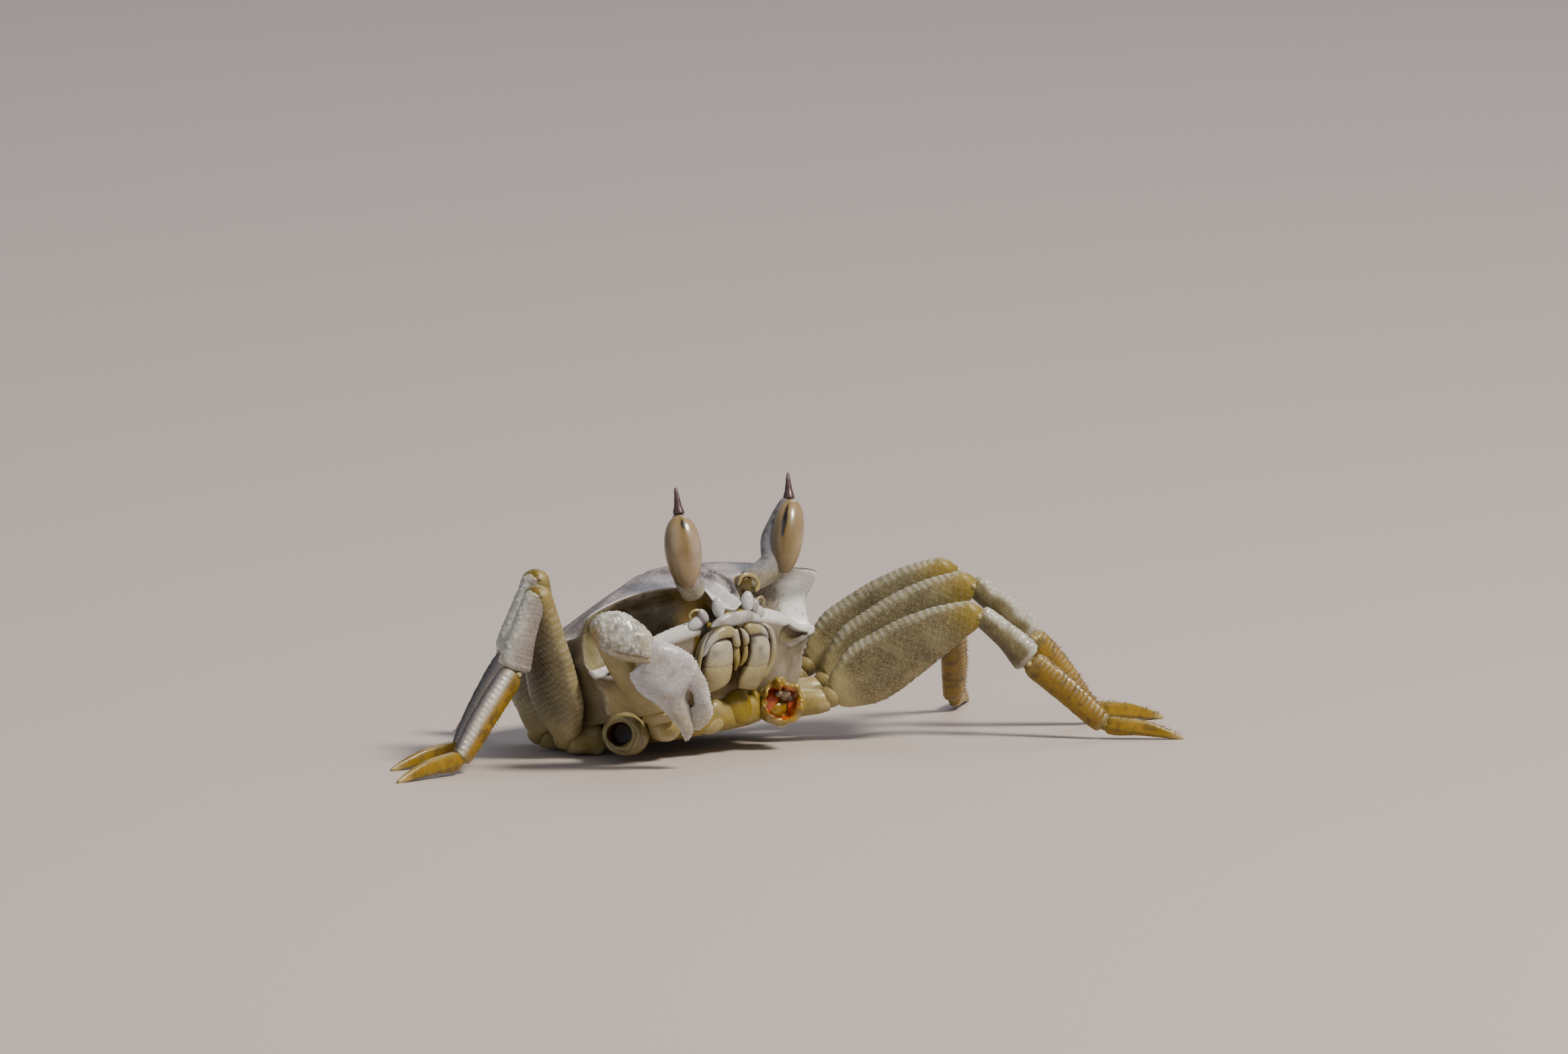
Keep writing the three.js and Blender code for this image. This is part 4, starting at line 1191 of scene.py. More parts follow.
# The outer mouth feet, drawn on the mouth's plane in mm: x and down of each plate's left
# and right edge, from its top to its foot.
MOUTH_FEET = {
    "R": {
        "lobe": [
            (-4.5, 1.5, -2.4, 1.5),
            (-5.6, 2.3, -1.3, 2.4),
            (-6.2, 3.8, -0.95, 4.1),
            (-6.6, 5.4, -0.85, 5.8),
            (-6.5, 6.9, -0.9, 7.4),
            (-5.7, 8.8, -1.2, 8.8),
            (-4.9, 10.3, -2.8, 10.0),
        ],
        "arch": [
            (-6.9, 4.0, -6.2, 3.9),
            (-6.6, 2.1, -5.6, 2.4),
            (-5.8, 0.7, -4.7, 1.6),
            (-4.6, -0.3, -3.9, 1.4),
            (-3.0, -0.7, -2.5, 1.4),
            (-1.6, -0.4, -1.5, 1.5),
            (-1.0, 0.3, -1.2, 0.9),
        ],
        "palp": [
            (-1.4, 0.1, -0.4, 0.3),
            (-1.5, 1.3, -0.1, 1.5),
            (-1.3, 2.5, 0.2, 2.9),
            (-0.9, 3.1, -0.1, 3.4),
        ],
        "palp tip": [
            (-0.9, 3.2, 0.2, 3.4),
            (-0.85, 4.6, 0.5, 4.8),
            (-0.45, 6.0, 0.5, 6.2),
            (-0.1, 7.3, 0.3, 7.4),
        ],
        "branch": [
            (-4.9, 0.0, -4.3, 0.3),
            (-6.1, 0.9, -5.5, 1.4),
            (-7.0, 2.4, -6.3, 2.7),
            (-7.4, 4.3, -6.7, 4.5),
            (-7.3, 6.2, -6.8, 6.2),
            (-6.8, 8.2, -6.5, 8.1),
        ],
    },
    "L": {
        "lobe": [
            (2.5, 1.7, 5.0, 1.8),
            (2.5, 3.0, 6.2, 3.3),
            (2.5, 4.7, 6.5, 5.1),
            (2.0, 6.6, 6.3, 6.9),
            (1.2, 7.9, 5.8, 8.7),
            (0.7, 9.2, 5.2, 10.2),
            (1.1, 10.5, 4.6, 11.4),
        ],
        "arch": [
            (6.3, 3.7, 5.6, 3.5),
            (5.8, 2.0, 5.2, 2.4),
            (4.6, 0.6, 4.2, 1.8),
            (2.9, -0.1, 2.9, 1.7),
            (1.6, -0.3, 1.9, 1.6),
            (0.9, 0.2, 1.4, 1.0),
        ],
        "palp": [
            (0.0, 0.2, 0.9, 0.5),
            (0.4, 1.4, 1.7, 1.5),
            (0.7, 2.6, 1.9, 2.7),
            (1.0, 3.2, 1.6, 3.2),
        ],
        "palp tip": [
            (1.0, 3.2, 1.9, 3.3),
            (1.05, 4.5, 2.1, 4.7),
            (0.85, 5.8, 1.8, 6.0),
            (0.75, 6.8, 1.2, 6.8),
        ],
        "branch": [
            (5.2, 0.6, 5.9, 0.6),
            (6.3, 1.9, 7.3, 1.8),
            (6.9, 3.5, 8.1, 3.7),
            (7.0, 5.3, 8.3, 5.8),
            (6.8, 7.2, 7.9, 7.7),
            (6.2, 8.8, 6.9, 9.3),
            (5.8, 9.8, 6.3, 10.1),
        ],
    },
}
# How thick each plate is and how far out it stands, along it.
MOUTH_BODIES = {
    "lobe": [(0, 0.7, 0.5), (0.3, 1.05, 0.65), (0.6, 1.15, 0.6), (1, 0.8, 0.1)],
    "arch": [(0, 0.4, 0.5), (0.5, 0.95, 0.75), (1, 0.6, 0.9)],
    "palp": [(0, 0.4, 1.0), (0.5, 0.65, 1.05), (1, 0.5, 0.9)],
    "palp tip": [(0, 0.45, 0.75), (0.5, 0.55, 0.65), (1, 0.3, 0.3)],
    "branch": [(0, 0.4, 0.2), (0.5, 0.7, 0.0), (1, 0.4, -0.2)],
}
# How grey the upper part of each plate is.
MOUTH_GREYS = {"lobe": 0.55, "arch": 0.4, "palp": 0.45, "palp tip": 0.0, "branch": 0.35}


def mouth_plate_look(kind, rings, p, c):
    """Relief and colours of one plate of a mouth foot: cream, grey on top under a painted highlight, brown
    in its seams, and dark along its edges, partly its own brown rim and partly painted shade between the
    plates.
    """
    edge = ease(np.abs(p["side"]), 0.72, 1.0)
    blotch = ripple(rings, 1.3, 71)
    seam = hump(p["at"], 0.52, 0.02) * (kind == "lobe")
    relief = -0.07 * seam + 0.03 * blotch + 0.02 * grains(rings, 0.5, 72)
    top = ease(0.62 - p["at"], 0, 0.4)
    grey = MOUTH_GREYS[kind]
    tint = tinted(
        c["cream"],
        (c["sage"], 0.35),
        # painted highlight: pearl over the upper part of each plate, strongest on the arch
        (c["pearl"], (0.7 if kind == "arch" else 0.36) * top),
        (c["slate"], grey * top * ease(blotch, -0.2, 0.7)),
        (c["straw"], 0.75 * (kind == "palp tip") + 0.35 * ease(p["at"], 0.6, 1.0) * edge),
        # dark brown along each plate's edges: partly its own rim, partly painted shade in the gaps between
        # plates; the lobe's seam is its own
        (c["umber"] * 1.8, 0.75 * ease(np.abs(p["side"]), 0.86, 1.0) + 0.15 * seam),
    )
    return relief, tint


def build_mouth_foot(side_name, c, materials):
    """One outer mouth foot: its lobe, the arch over it, the palp and the slim outer branch."""
    out = body_way(MOUTH_OUT)
    pieces = []
    for kind, edges in MOUTH_FEET[side_name].items():
        rings, p = slab(edges, MOUTH_BODIES[kind], on_mouth, out)
        relief, tint = mouth_plate_look(kind, rings, p, c)
        pieces.append(loft(f"plate_{len(pieces)}", embossed(rings, relief), tint, 0.0, 0.7))
    foot = join(f"mouth_foot_{side_name}", pieces)
    settle(foot, materials["mouth"], "belly", f"maxilliped_{side_name}")


# Small rounded pieces beside the front, for the left side: centre, radii, the way the
# longest points, and the colour.
FEELER_LUMPS = [
    ((2.9, -19.7, 4.1), (1.05, 0.95, 1.7), (0.1, -0.2, 1), "pearl"),
    ((5.9, -17.6, 2.3), (1.1, 0.8, 1.9), (1, 0.3, -0.5), "pearl"),
    ((5.1, -18.4, 3.2), (0.8, 0.7, 1.3), (0.5, 0, 1), "lilac"),
    ((4.4, -18.6, 1.6), (0.45, 0.45, 0.5), (0, 0, 1), "straw"),
    ((1.1, -19.6, 2.7), (0.5, 0.5, 0.8), (1, 0, 0.3), "straw"),
]
# The raised ring about the left feeler's socket, and the thread, as points in turn.
SOCKET_RING = [
    (2.6, -18.5, 6.8),
    (3.4, -18.9, 8.1),
    (4.9, -19.1, 8.0),
    (6.0, -19.2, 6.7),
    (5.4, -18.9, 5.2),
]
FEELER_THREAD = [
    (5.4, -18.3, 3.6),
    (5.9, -18.6, 4.2),
    (6.8, -18.4, 4.3),
    (7.4, -18.0, 3.7),
    (7.2, -17.9, 3.1),
]
SOCKET_RADII = [0.22, 0.32, 0.36, 0.42, 0.35]
SOCKET_HOLLOW = ((4.4, -18.4, 6.6), (1.4, 0.6, 1.5))  # middle and radii
THREAD_RADII = [0.3, 0.25, 0.21, 0.18, 0.15]
# The mouth's upper frame, drawn on the mouth's plane like the mouth feet.
MOUTH_FRAME_BODY = [(0, 0.6, 0.0), (0.5, 0.8, 0.1), (1, 0.6, 0.0)]
MOUTH_FRAME = [
    (-5.0, -0.4, -4.4, -1.2),
    (-2.8, -0.2, -2.0, -2.2),
    (-0.2, 0.0, 0.2, -2.2),
    (2.6, 0.1, 2.4, -2.0),
    (5.2, 0.4, 4.8, -0.8),
]


def build_feeler(side_name, sign, c, materials):
    """The feelers beside the front: pearly beads, a tooth at the orbit and a thread."""
    mirror = (sign, 1, 1)
    pieces = []
    for i, (centre, radii, way, colour) in enumerate(FEELER_LUMPS):
        spot = on_body(np.array(centre) * mirror)
        tone = tinted(c[colour], (c["slate"], 0.12))
        pieces.append(lump(f"bead_{i}", spot, radii, body_way(np.array(way) * mirror), tone, 1.0))
    rings = rod(on_body(np.array(FEELER_THREAD) * mirror), THREAD_RADII, 8, 12)
    pieces.append(loft("thread", rings, c["cream"], 0.0, 0.8))
    if side_name == "L":
        pieces += left_socket(c)
    feeler = join(f"feelers_{side_name}", pieces)
    settle(feeler, materials["claw"], "claw", f"antenna_{side_name}")


def left_socket(c):
    """The left feeler's open socket, and the frame over the mouth that joins both feelers."""
    rings = rod(on_body(np.array(SOCKET_RING)), SOCKET_RADII, 10, 20)
    ring = loft("socket", rings, tinted(c["cream"], (c["straw"], 0.25)), 0.0, 0.9)
    middle, radii = SOCKET_HOLLOW
    hollow = lump("hollow", on_body(middle), radii, (0, 0, 1), c["olive"], 1.0)
    rings, _ = slab(MOUTH_FRAME, MOUTH_FRAME_BODY, on_mouth, body_way(MOUTH_OUT))
    dappled = 0.35 + 0.4 * ripple(rings, 1.2, 74)
    tint = tinted(c["pearl"], (c["olive"], dappled))
    return [ring, hollow, loft("frame", rings, tint, 0.0, 0.6)]


# ------------------------------------------------------------------ eyes

# Each eye, in the body's axes: the root of its stalk, the two ends of its cornea, which way
# the cornea faces, and how far the horn leans sideways.
EYES = {
    "L": {
        "root": (4.9, -16.9, 6.6),
        "low": (9.9, -20.6, 7.2),
        "high": (14.7, -20.1, 18.4),
        "faces": (0.6, -0.8, 0),
        "lean": -0.2,
    },
    "R": {
        "root": (-4.9, -16.9, 6.6),
        "low": (-8.7, -20.4, 7.9),
        "high": (-7.5, -19.8, 19.5),
        "faces": (-0.6, -0.8, 0),
        "lean": 0,
    },
}
CORNEA_HALF_WIDTH = 2.9
CORNEA_HALF_DEPTH = 2.5
STALK_BACK = 2.3
STALK_RADII = [1.9, 2.1, 1.7, 1.1]
HORN_LENGTH = 4.2
HORN_RADII = [(0, 0.95), (0.12, 0.85), (0.3, 0.62), (0.6, 0.45), (1, 0.22)]
# The dark mark of each cornea: its turn from the cornea's own facing, its middle height
# along the cornea, and its half width (turn) and half height.
PUPILS = {"L": (86, 0.66, 7, 0.2), "R": (-11, 0.86, 7, 0.06)}


def build_eye(side_name, c, materials):
    """One eye: the cornea, the stalk behind it and the horn on top."""
    eye = EYES[side_name]
    low, high = np.array(eye["low"], float), np.array(eye["high"], float)
    faces = np.array(eye["faces"], float)
    axis, side, top = placed(low, high, faces)
    length = np.linalg.norm(high - low)
    theta = np.linspace(0.03, 0.97, 64)[:, None] * math.pi
    turn = full_turn(96)[None, :]
    full = np.sin(theta) * (1 - 0.07 * np.cos(theta))
    at = (1 - np.cos(theta)) / 2
    rings = (
        low
        + axis * (at * length)[..., None]
        + side * (np.cos(turn) * full * CORNEA_HALF_WIDTH)[..., None]
        + top * (np.sin(turn) * full * CORNEA_HALF_DEPTH)[..., None]
    )
    facing = np.degrees(np.arctan2(np.cos(turn), np.sin(turn))) * np.ones_like(theta)
    at = at * np.ones_like(turn)
    where, height, wide, tall = PUPILS[side_name]
    away = np.hypot((facing - where) / wide, (at - height) / tall)
    drip = hump(facing, where, wide * 2.6) * ease(at, 0.05, 0.5) * ease(height + 0.2 - at, 0, 0.3)
    tint = tinted(
        c["peach"],
        # painted shade: olive over the side of the cornea turned away from the key light
        (c["olive"], 0.5 * ease(facing, 5, 60) * ease(1 - at, 0.1, 0.4)),
        (c["olive"], 0.4 * ease(1 - at, 0.55, 1.0)),
        (c["ochre"], 0.3 * ease(at, 0.75, 1.0)),
        # painted highlight: pale lilac across the middle of the cornea's lit side
        (c["lilac"], 0.3 * hump(at, 0.5, 0.25) * ease(-facing, -20, 40)),
        (c["ochre"] * 0.6, 0.65 * drip),
        (c["ochre"] * 0.6, 0.6 * ease(2.4 - away, 0, 1.4)),
        (c["umber"] * 0.06, ease(1.3 - away, 0, 0.3)),
    )
    cornea = loft(f"cornea_{side_name}", on_body(rings), tint, 0.0, 1.0)
    settle(cornea, materials["cornea"], "cornea", f"eye_{side_name}")
    build_stalk(side_name, low, high, axis, faces, c, materials)


def build_stalk(side_name, low, high, axis, faces, c, materials):
    """The stalk behind a cornea, with the horn that it ends in."""
    eye = EYES[side_name]
    behind = -STALK_BACK * faces
    foot = low + behind * 0.8 + axis * 2.2
    mid = (low + high) / 2 + behind * 1.1
    end = high + behind * 0.25 + axis * 0.4
    rings = rod([np.array(eye["root"]), foot, mid, end], STALK_RADII, 20, 40)
    rings = embossed(rings, 0.06 * ripple(rings, 1.2, 81))
    speck = ease(ripple(rings, 0.6, 82), 0.2, 0.6)
    rise = ease(rings[..., 2], 7, 19)
    tint = tinted(
        c["pearl"],
        (c["slate"], 0.6 + 0.2 * rise + 0.2 * speck),
        (c["cream"], 0.5 * ease(9.5 - rings[..., 2], 0, 2.5)),
    )
    stalk = loft(f"stalk_{side_name}", on_body(rings), tint, 0.25, 0.5)
    settle(stalk, materials["carapace"], "shell", f"eyestalk_{side_name}")
    build_horn(side_name, end - axis * 0.3, axis, c, materials)


def build_horn(side_name, root, axis, c, materials):
    """The horn that an eyestalk ends in, above the cornea."""
    eye = EYES[side_name]
    upright = unit(axis + np.array([eye["lean"], 0, 0]))
    stations = [(at, radius, radius, radius, 0) for at, radius in HORN_RADII]
    tip = root + upright * HORN_LENGTH
    rings, p = article(root, tip, eye["faces"], stations, 48, 28, 0, (0.02, 0.05), 1.0)
    rings = embossed(rings, 0.04 * ripple(rings, 0.7, 83))
    tint = tinted(
        c["plum"],
        (c["lilac"], 0.35 * ease(p["at"], 0.6, 1)),
        (c["umber"], 0.3 * ease(ripple(rings, 0.6, 84), 0, 0.5)),
    )
    horn = loft(f"horn_{side_name}_spike", on_body(rings), tint, 0.0, 0.5)
    settle(horn, materials["horn"], "horn", f"horn_{side_name}")


# ------------------------------------------------------------------ folded claw

CLAW_SHEET = {"azimuth": -38, "elevation": 7.5}  # which way the folded claw's flat face looks


def on_sheet(across, down, out):
    """A point of the sheet that the claw is folded in: across and down from the brow's
    middle, and out in front of it, in mm."""
    right, forward, up = view_axes(**CLAW_SHEET)
    place = on_body(BROW_MIDDLE) + np.multiply.outer(across, right)
    return place + np.multiply.outer(down, -up) + np.multiply.outer(out, -forward)


# The claw's pieces, drawn on that sheet in mm: across and down of one edge and the other.
CLAW_EDGES = {
    "arm": [
        (-21.9, 4.2, -19.6, 2.6),
        (-21.6, 5.4, -17.6, 4.7),
        (-20.7, 7.3, -16.0, 6.8),
        (-19.6, 9.6, -14.4, 8.9),
        (-18.4, 11.7, -13.4, 11.2),
        (-17.1, 13.7, -12.3, 13.1),
        (-16.0, 15.5, -11.0, 14.6),
        (-14.4, 17.2, -9.7, 16.2),
        (-13.1, 18.4, -9.3, 17.5),
    ],
    "wrist": [
        (-22.4, 2.6, -22.3, 3.7),
        (-21.7, 1.5, -21.5, 5.3),
        (-20.4, 0.7, -20.1, 6.7),
        (-18.6, 0.4, -18.1, 7.8),
        (-16.7, 0.8, -16.0, 8.3),
        (-15.2, 1.8, -14.1, 8.5),
        (-13.7, 3.0, -13.1, 8.6),
        (-12.5, 4.6, -12.9, 7.7),
    ],
    "hand": [
        (-13.1, 5.0, -14.1, 6.3),
        (-11.3, 5.1, -15.2, 9.1),
        (-9.4, 5.7, -16.2, 10.3),
        (-7.6, 6.6, -15.6, 11.8),
        (-6.3, 7.8, -14.2, 13.4),
        (-6.2, 9.7, -12.5, 14.6),
        (-6.7, 11.5, -11.3, 15.5),
        (-7.6, 13.3, -10.2, 16.6),
        (-7.1, 15.2, -9.4, 17.6),
        (-6.6, 17.0, -8.6, 18.6),
        (-6.4, 18.8, -8.2, 19.4),
        (-7.1, 20.4, -7.6, 20.6),
    ],
    "finger": [
        (-6.0, 8.0, -7.6, 8.9),
        (-5.0, 10.1, -7.8, 10.8),
        (-4.3, 11.5, -7.4, 12.2),
        (-3.9, 13.1, -6.4, 13.2),
        (-3.7, 14.5, -6.2, 14.7),
        (-3.4, 15.8, -6.9, 15.8),
        (-3.8, 17.2, -6.8, 17.2),
        (-4.9, 18.4, -6.5, 18.3),
        (-5.5, 18.9, -6.2, 18.8),
    ],
}
# How thick each piece is and how far out it stands, along it.
CLAW_BODIES = {
    "arm": [(0, 1.6, 16.4), (0.2, 2.2, 14.4), (0.8, 2.4, 6.6), (1, 1.8, 4.4)],
    "wrist": [(0, 1.2, 18.4), (0.3, 2.7, 18.6), (0.7, 2.8, 18.2), (1, 1.6, 17.4)],
    "hand": [(0, 1.2, 17.2), (0.2, 2.2, 16.4), (0.45, 2.3, 14.8), (0.7, 1.3, 12.8), (1, 0.5, 11.2)],
    "finger": [(0, 1.2, 14.2), (0.3, 1.6, 13.4), (0.7, 1.1, 12.0), (1, 0.5, 11.2)],
}
CLAW_HIP = ((-9.3, -13.2, 5.0), (-12.9, -17.0, 6.8))  # the two ends of the claw's coxa
CLAW_TOOTH = 0.62  # spacing of the teeth along the fingers' edges
CLAW_COXA = [(0, 2.2, 2.4, 0), (0.3, 2.6, 2.6, 0), (0.7, 2.4, 2.4, 0), (1, 1.6, 1.8, 0)]


def claw_arm_look(rings, p, sizes, c):
    """Relief and colours of the claw's arm: smooth cream with a straw foot."""
    relief = 0.04 * grains(rings, sizes.granule, 95) + 0.05 * ripple(rings, 2, 97)
    foot = ease(p["at"], 0.84, 0.93)
    seam = hump(p["at"], 0.86, 0.012)
    tint = tinted(
        c["cream"],
        (c["sage"], 0.3 + 0.3 * ripple(rings, 3, 96)),
        (c["straw"], 0.22),
        (c["ochre"], 0.35 * ease(1 - p["at"], 0.85, 1.0)),
        (c["straw"], 0.22 * foot),
        (c["ochre"], 0.6 * seam),
    )
    return relief - 0.3 * seam, tint, 0.1, 0.4


def claw_wrist_look(rings, p, sizes, c):
    """Relief and colours of the wrist: glossy bumps, a tan end and a pale lower lip."""
    bumps = grains(rings, 0.78, 91)
    lip = ease(p["side"], 0.72, 0.86) * ease(p["at"], 0.3, 0.45)
    groove = hump(p["side"], 0.72, 0.05) * ease(p["at"], 0.3, 0.45) * ease(p["front"], -0.1, 0.4)
    rim = ease(-p["side"], 0.85, 1.0)
    tan = ease(0.3 - p["at"], 0, 0.16) * ease(p["side"] + 0.6, 0, 0.5)
    relief = 0.12 * ease(bumps, 0.0, 0.8) * (1 - lip) + 0.05 * grains(rings, 0.5, 98) - 0.2 * groove
    tint = tinted(
        c["pearl"],
        (c["sage"], 0.65 * (1 - bumps) + 0.3 * ripple(rings, 2.5, 93)),
        (c["slate"], 0.4 * ease(ripple(rings, 0.9, 94), 0.0, 0.7)),
        (c["pearl"], 0.25 * ease(bumps, 0.5, 0.9)),
        (c["ochre"], 0.75 * tan),
        (c["cream"], 0.6 * lip + 0.3 * rim),
        (c["ochre"] * 0.7, 0.8 * groove),
    )
    return relief, tint, 0.0, 0.95 - 0.3 * lip


def claw_hand_look(rings, p, sizes, c):
    """Relief and colours of the hand and its fixed finger: pearl, mottled, with toothed edges."""
    fine, coarse = grains(rings, sizes.granule, 99), grains(rings, sizes.granule * 1.9, 92)
    edge = ease(np.abs(p["side"]), 0.8, 1.0)
    teeth = waves(p["mm"] / CLAW_TOOTH + 0.3 * ripple(rings, 1.1, 89)) ** 2
    relief = 0.035 * fine + 0.08 * coarse * (0.4 + edge) + 0.09 * edge * teeth
    far = ease(p["at"], 0.45, 0.8)
    blotch = ripple(rings, 2.0, 93)
    tint = tinted(
        c["pearl"],
        (c["lilac"], 0.5 + 0.4 * blotch),
        (c["olive"], 0.14 + 0.2 * ease(ripple(rings, 0.7, 94), 0.1, 0.8)),
        (c["cream"], 0.45 * far + 0.3 * ease(blotch, 0.2, 0.8)),
        (c["pearl"], 0.75 * edge + 0.45 * ease(coarse, 0.4, 0.9)),
    )
    return relief, tint, 0.05, 0.5 + 0.3 * edge


CLAW_LOOKS = {
    "arm": (claw_arm_look, "claw_merus"),
    "wrist": (claw_wrist_look, "claw_carpus"),
    "hand": (claw_hand_look, "claw_palm"),
    "finger": (claw_hand_look, "claw_finger"),
}


def build_claw(sizes, c, materials):
    """The right claw, folded in front of the mouth."""
    facing = on_sheet(0, 0, 1) - on_sheet(0, 0, 0)
    for kind, (look, node) in CLAW_LOOKS.items():
        rings, p = slab(CLAW_EDGES[kind], CLAW_BODIES[kind], on_sheet, facing, 16, 120, 0.8)
        relief, tint, net, wet = look(rings, p, sizes, c)
        piece = loft(f"claw_{kind}", embossed(rings, relief), tint, net, wet)
        settle(piece, materials["claw"], "claw", node)
    start, end = (on_floor(point) for point in CLAW_HIP)
    rings, p = article(start, end, (0, 0, 1), even_table(CLAW_COXA), 40, 48)
    relief, tint, net, wet = coxa_look(rings, p, sizes, c, False)
    hip = loft("claw_hip", embossed(rings, relief), tint, net, wet)
    settle(hip, materials["mouth"], "belly", "claw_coxa")


# ------------------------------------------------------------------ stumps

# The torn rim of the lost claw: its axis in the body's axes, and its profile from the root
# over the rim and down inside.
CLAW_STUMP_ENDS = ((10.8, -11.2, -12.6), (9.4, -15.9, -12.5))
CLAW_STUMP = [
    (0, 2.6),
    (1.0, 3.2),
    (3.2, 3.5),
    (4.4, 3.4),
    (5.0, 3.1),
    (5.0, 2.7),
    (4.3, 2.4),
    (3.2, 1.9),
    (2.8, 1.1),
    (2.7, 0.3),
]
# Lumps of flesh inside it: centre, radii, the way the longest points, and colour.
FLESH_LUMPS = [
    ((9.2, -13.7, -12.7), (1.9, 0.7, 2.1), (0.7, 0, 0.7), "flesh"),
    ((9.9, -13.8, -13.6), (1.4, 1.0, 1.9), (1, 0, 0.5), "ochre"),
    ((10.7, -15.2, -11.4), (0.95, 0.9, 1.2), (0.4, 0, 1), "plum"),
    ((11.7, -14.9, -12.1), (0.7, 0.7, 0.9), (0, 0, 1), "plum"),
    ((9.6, -15.1, -11.2), (0.6, 0.6, 0.8), (1, 0, 0.2), "plum"),
]
# The open tube of the lost leg, in the same way.
LEG_STUMP_ENDS = ((-15.2, -7.6, -12.8), (-20.2, -12.0, -12.6))
LEG_STUMP = [
    (0, 2.4),
    (0.4, 2.9),
    (1.3, 3.3),
    (3.6, 3.2),
    (5.8, 2.9),
    (6.35, 2.5),
    (6.3, 2.15),
    (5.9, 1.95),
    (5.0, 1.85),
    (3.4, 1.7),
    (3.05, 1.1),
    (3.0, 0.3),
]


def stump_rings(ends, profile):
    """Rings of a stump, and for each point its share of the way along the profile.

    A profile point is how far along the axis it lies, and how far from it."""
    start, end = (on_body(point) for point in ends)
    axis, side, top = placed(start, end, (0, 0, 1))
    outline = spline(profile, 6, False)
    turn = full_turn(64)
    ring = side * np.cos(turn)[:, None] + top * np.sin(turn)[:, None]
    rings = start + axis * outline[:, 0, None, None] + ring * outline[:, 1, None, None]
    share = (np.arange(len(rings)) / len(rings))[:, None] * np.ones(rings.shape[:2])
    return rings, share


def build_claw_stump(c, materials):
    """The lost left claw: a torn straw rim round wet orange flesh."""
    rings, share = stump_rings(CLAW_STUMP_ENDS, CLAW_STUMP)
    inside = ease(share, 0.5, 0.62)
    blotch = ripple(rings, 1.7, 101)
    torn = ripple(rings, 1.1, 102) * ease(share, 0.3, 0.45)
    rings = embossed(rings, 0.8 * blotch + 0.9 * torn)
    tint = tinted(
        c["cream"],
        (c["straw"], 0.6 + 0.3 * blotch),
        (c["ochre"], ease(share, 0.3, 0.5)),
        (c["flesh"], inside * ease(blotch, -0.7, 0.1)),
        (c["flesh"] * 0.25, inside * ease(torn, 0.0, 0.5)),
    )
    pieces = [loft("rim", rings, tint, 0.0, 0.9)]
    for i, (centre, radii, way, colour) in enumerate(FLESH_LUMPS):
        tone = tinted(c[colour], (c["cream"], 0.3 if colour == "plum" else 0.0))
        pieces.append(lump(f"flesh_{i}", on_body(centre), radii, way, tone, 1.0))
    settle(join("claw_stump", pieces), materials["flesh"], "wound", "stump_L1")


def build_leg_stump(c, materials):
    """The lost right leg: an open, wrinkled tube with a brown hollow, and painted shade in the valleys of
    its folds and deep inside it.
    """
    rings, share = stump_rings(LEG_STUMP_ENDS, LEG_STUMP)
    inside = ease(share, 0.58, 0.66)
    blotch = ripple(rings, 2.4, 103)
    folds = waves(share * 7 + 1.1 * blotch)
    rings = embossed(rings, 0.42 * blotch + 0.1 * folds * (1 - inside))
    tint = tinted(
        c["cream"],
        (c["sage"], 0.6),
        (c["straw"], 0.35 * ease(blotch, -0.2, 0.6)),
        # painted shade: olive in the valleys between the folds
        (c["olive"], 0.6 * (1 - folds) * (1 - inside)),
        (c["umber"] * 2.2, inside),
        # painted shade: the inside grows near black deeper into the tube; the brown before it is its own
        (c["umber"] * 0.5, inside * ease(share, 0.75, 0.9)),
    )
    stump = loft("leg_stump", rings, tint, 0.1, 0.5 * (1 - inside))
    settle(stump, materials["mouth"], "belly", "stump_R2")


# ------------------------------------------------------------------ materials


def add(tree, kind, settings=None, **inputs):
    """A shader node, with its own settings and its inputs set or linked by name."""
    node = tree.nodes.new(kind)
    for key, value in (settings or {}).items():
        setattr(node, key, value)
    for key, value in inputs.items():
        socket = node.inputs[int(key[1:])] if key[1:].isdigit() else node.inputs[key.replace("_", " ")]
        if isinstance(value, bpy.types.NodeSocket):
            tree.links.new(value, socket)
        else:
            socket.default_value = value
    return node


def new_material(name):
    """An empty material: its node tree and its surface shader."""
    material = bpy.data.materials.new(name)
    material.use_nodes = True
    tree = material.node_tree
    return material, tree, tree.nodes["Principled BSDF"]


def per_mm(size):
    """The scale of a pattern whose cells are the given number of millimetres."""
    return 1 / (size * MM)


def set_sockets(shader, values):
    """Constants on a shader's sockets, by the sockets' names."""
    for name, value in values.items():
        shader.inputs[name].default_value = value


NOISE_SPAN = {"From_Min": 0.3, "From_Max": 0.7}  # where nearly all of a noise's values lie
NET_BEND = (0.9 * MM,) * 3
NET_SHADE = (0.34, 0.27, 0.2, 1)  # what the net's brown leaves of the light
SKIN_REACH = (0.9, 0.6, 0.4)  # how far red, green and blue light go in the skin, to each other


def shaded(tree, tint, noise, dark, light):
    """The tint, made a little darker here and lighter there by a noise."""
    shade = add(tree, "ShaderNodeMapRange", Value=noise, To_Min=dark, To_Max=light, **NOISE_SPAN)
    shade = shade.outputs["Result"]
    return add(tree, "ShaderNodeVectorMath", {"operation": "SCALE"}, _0=tint, Scale=shade).outputs[0]


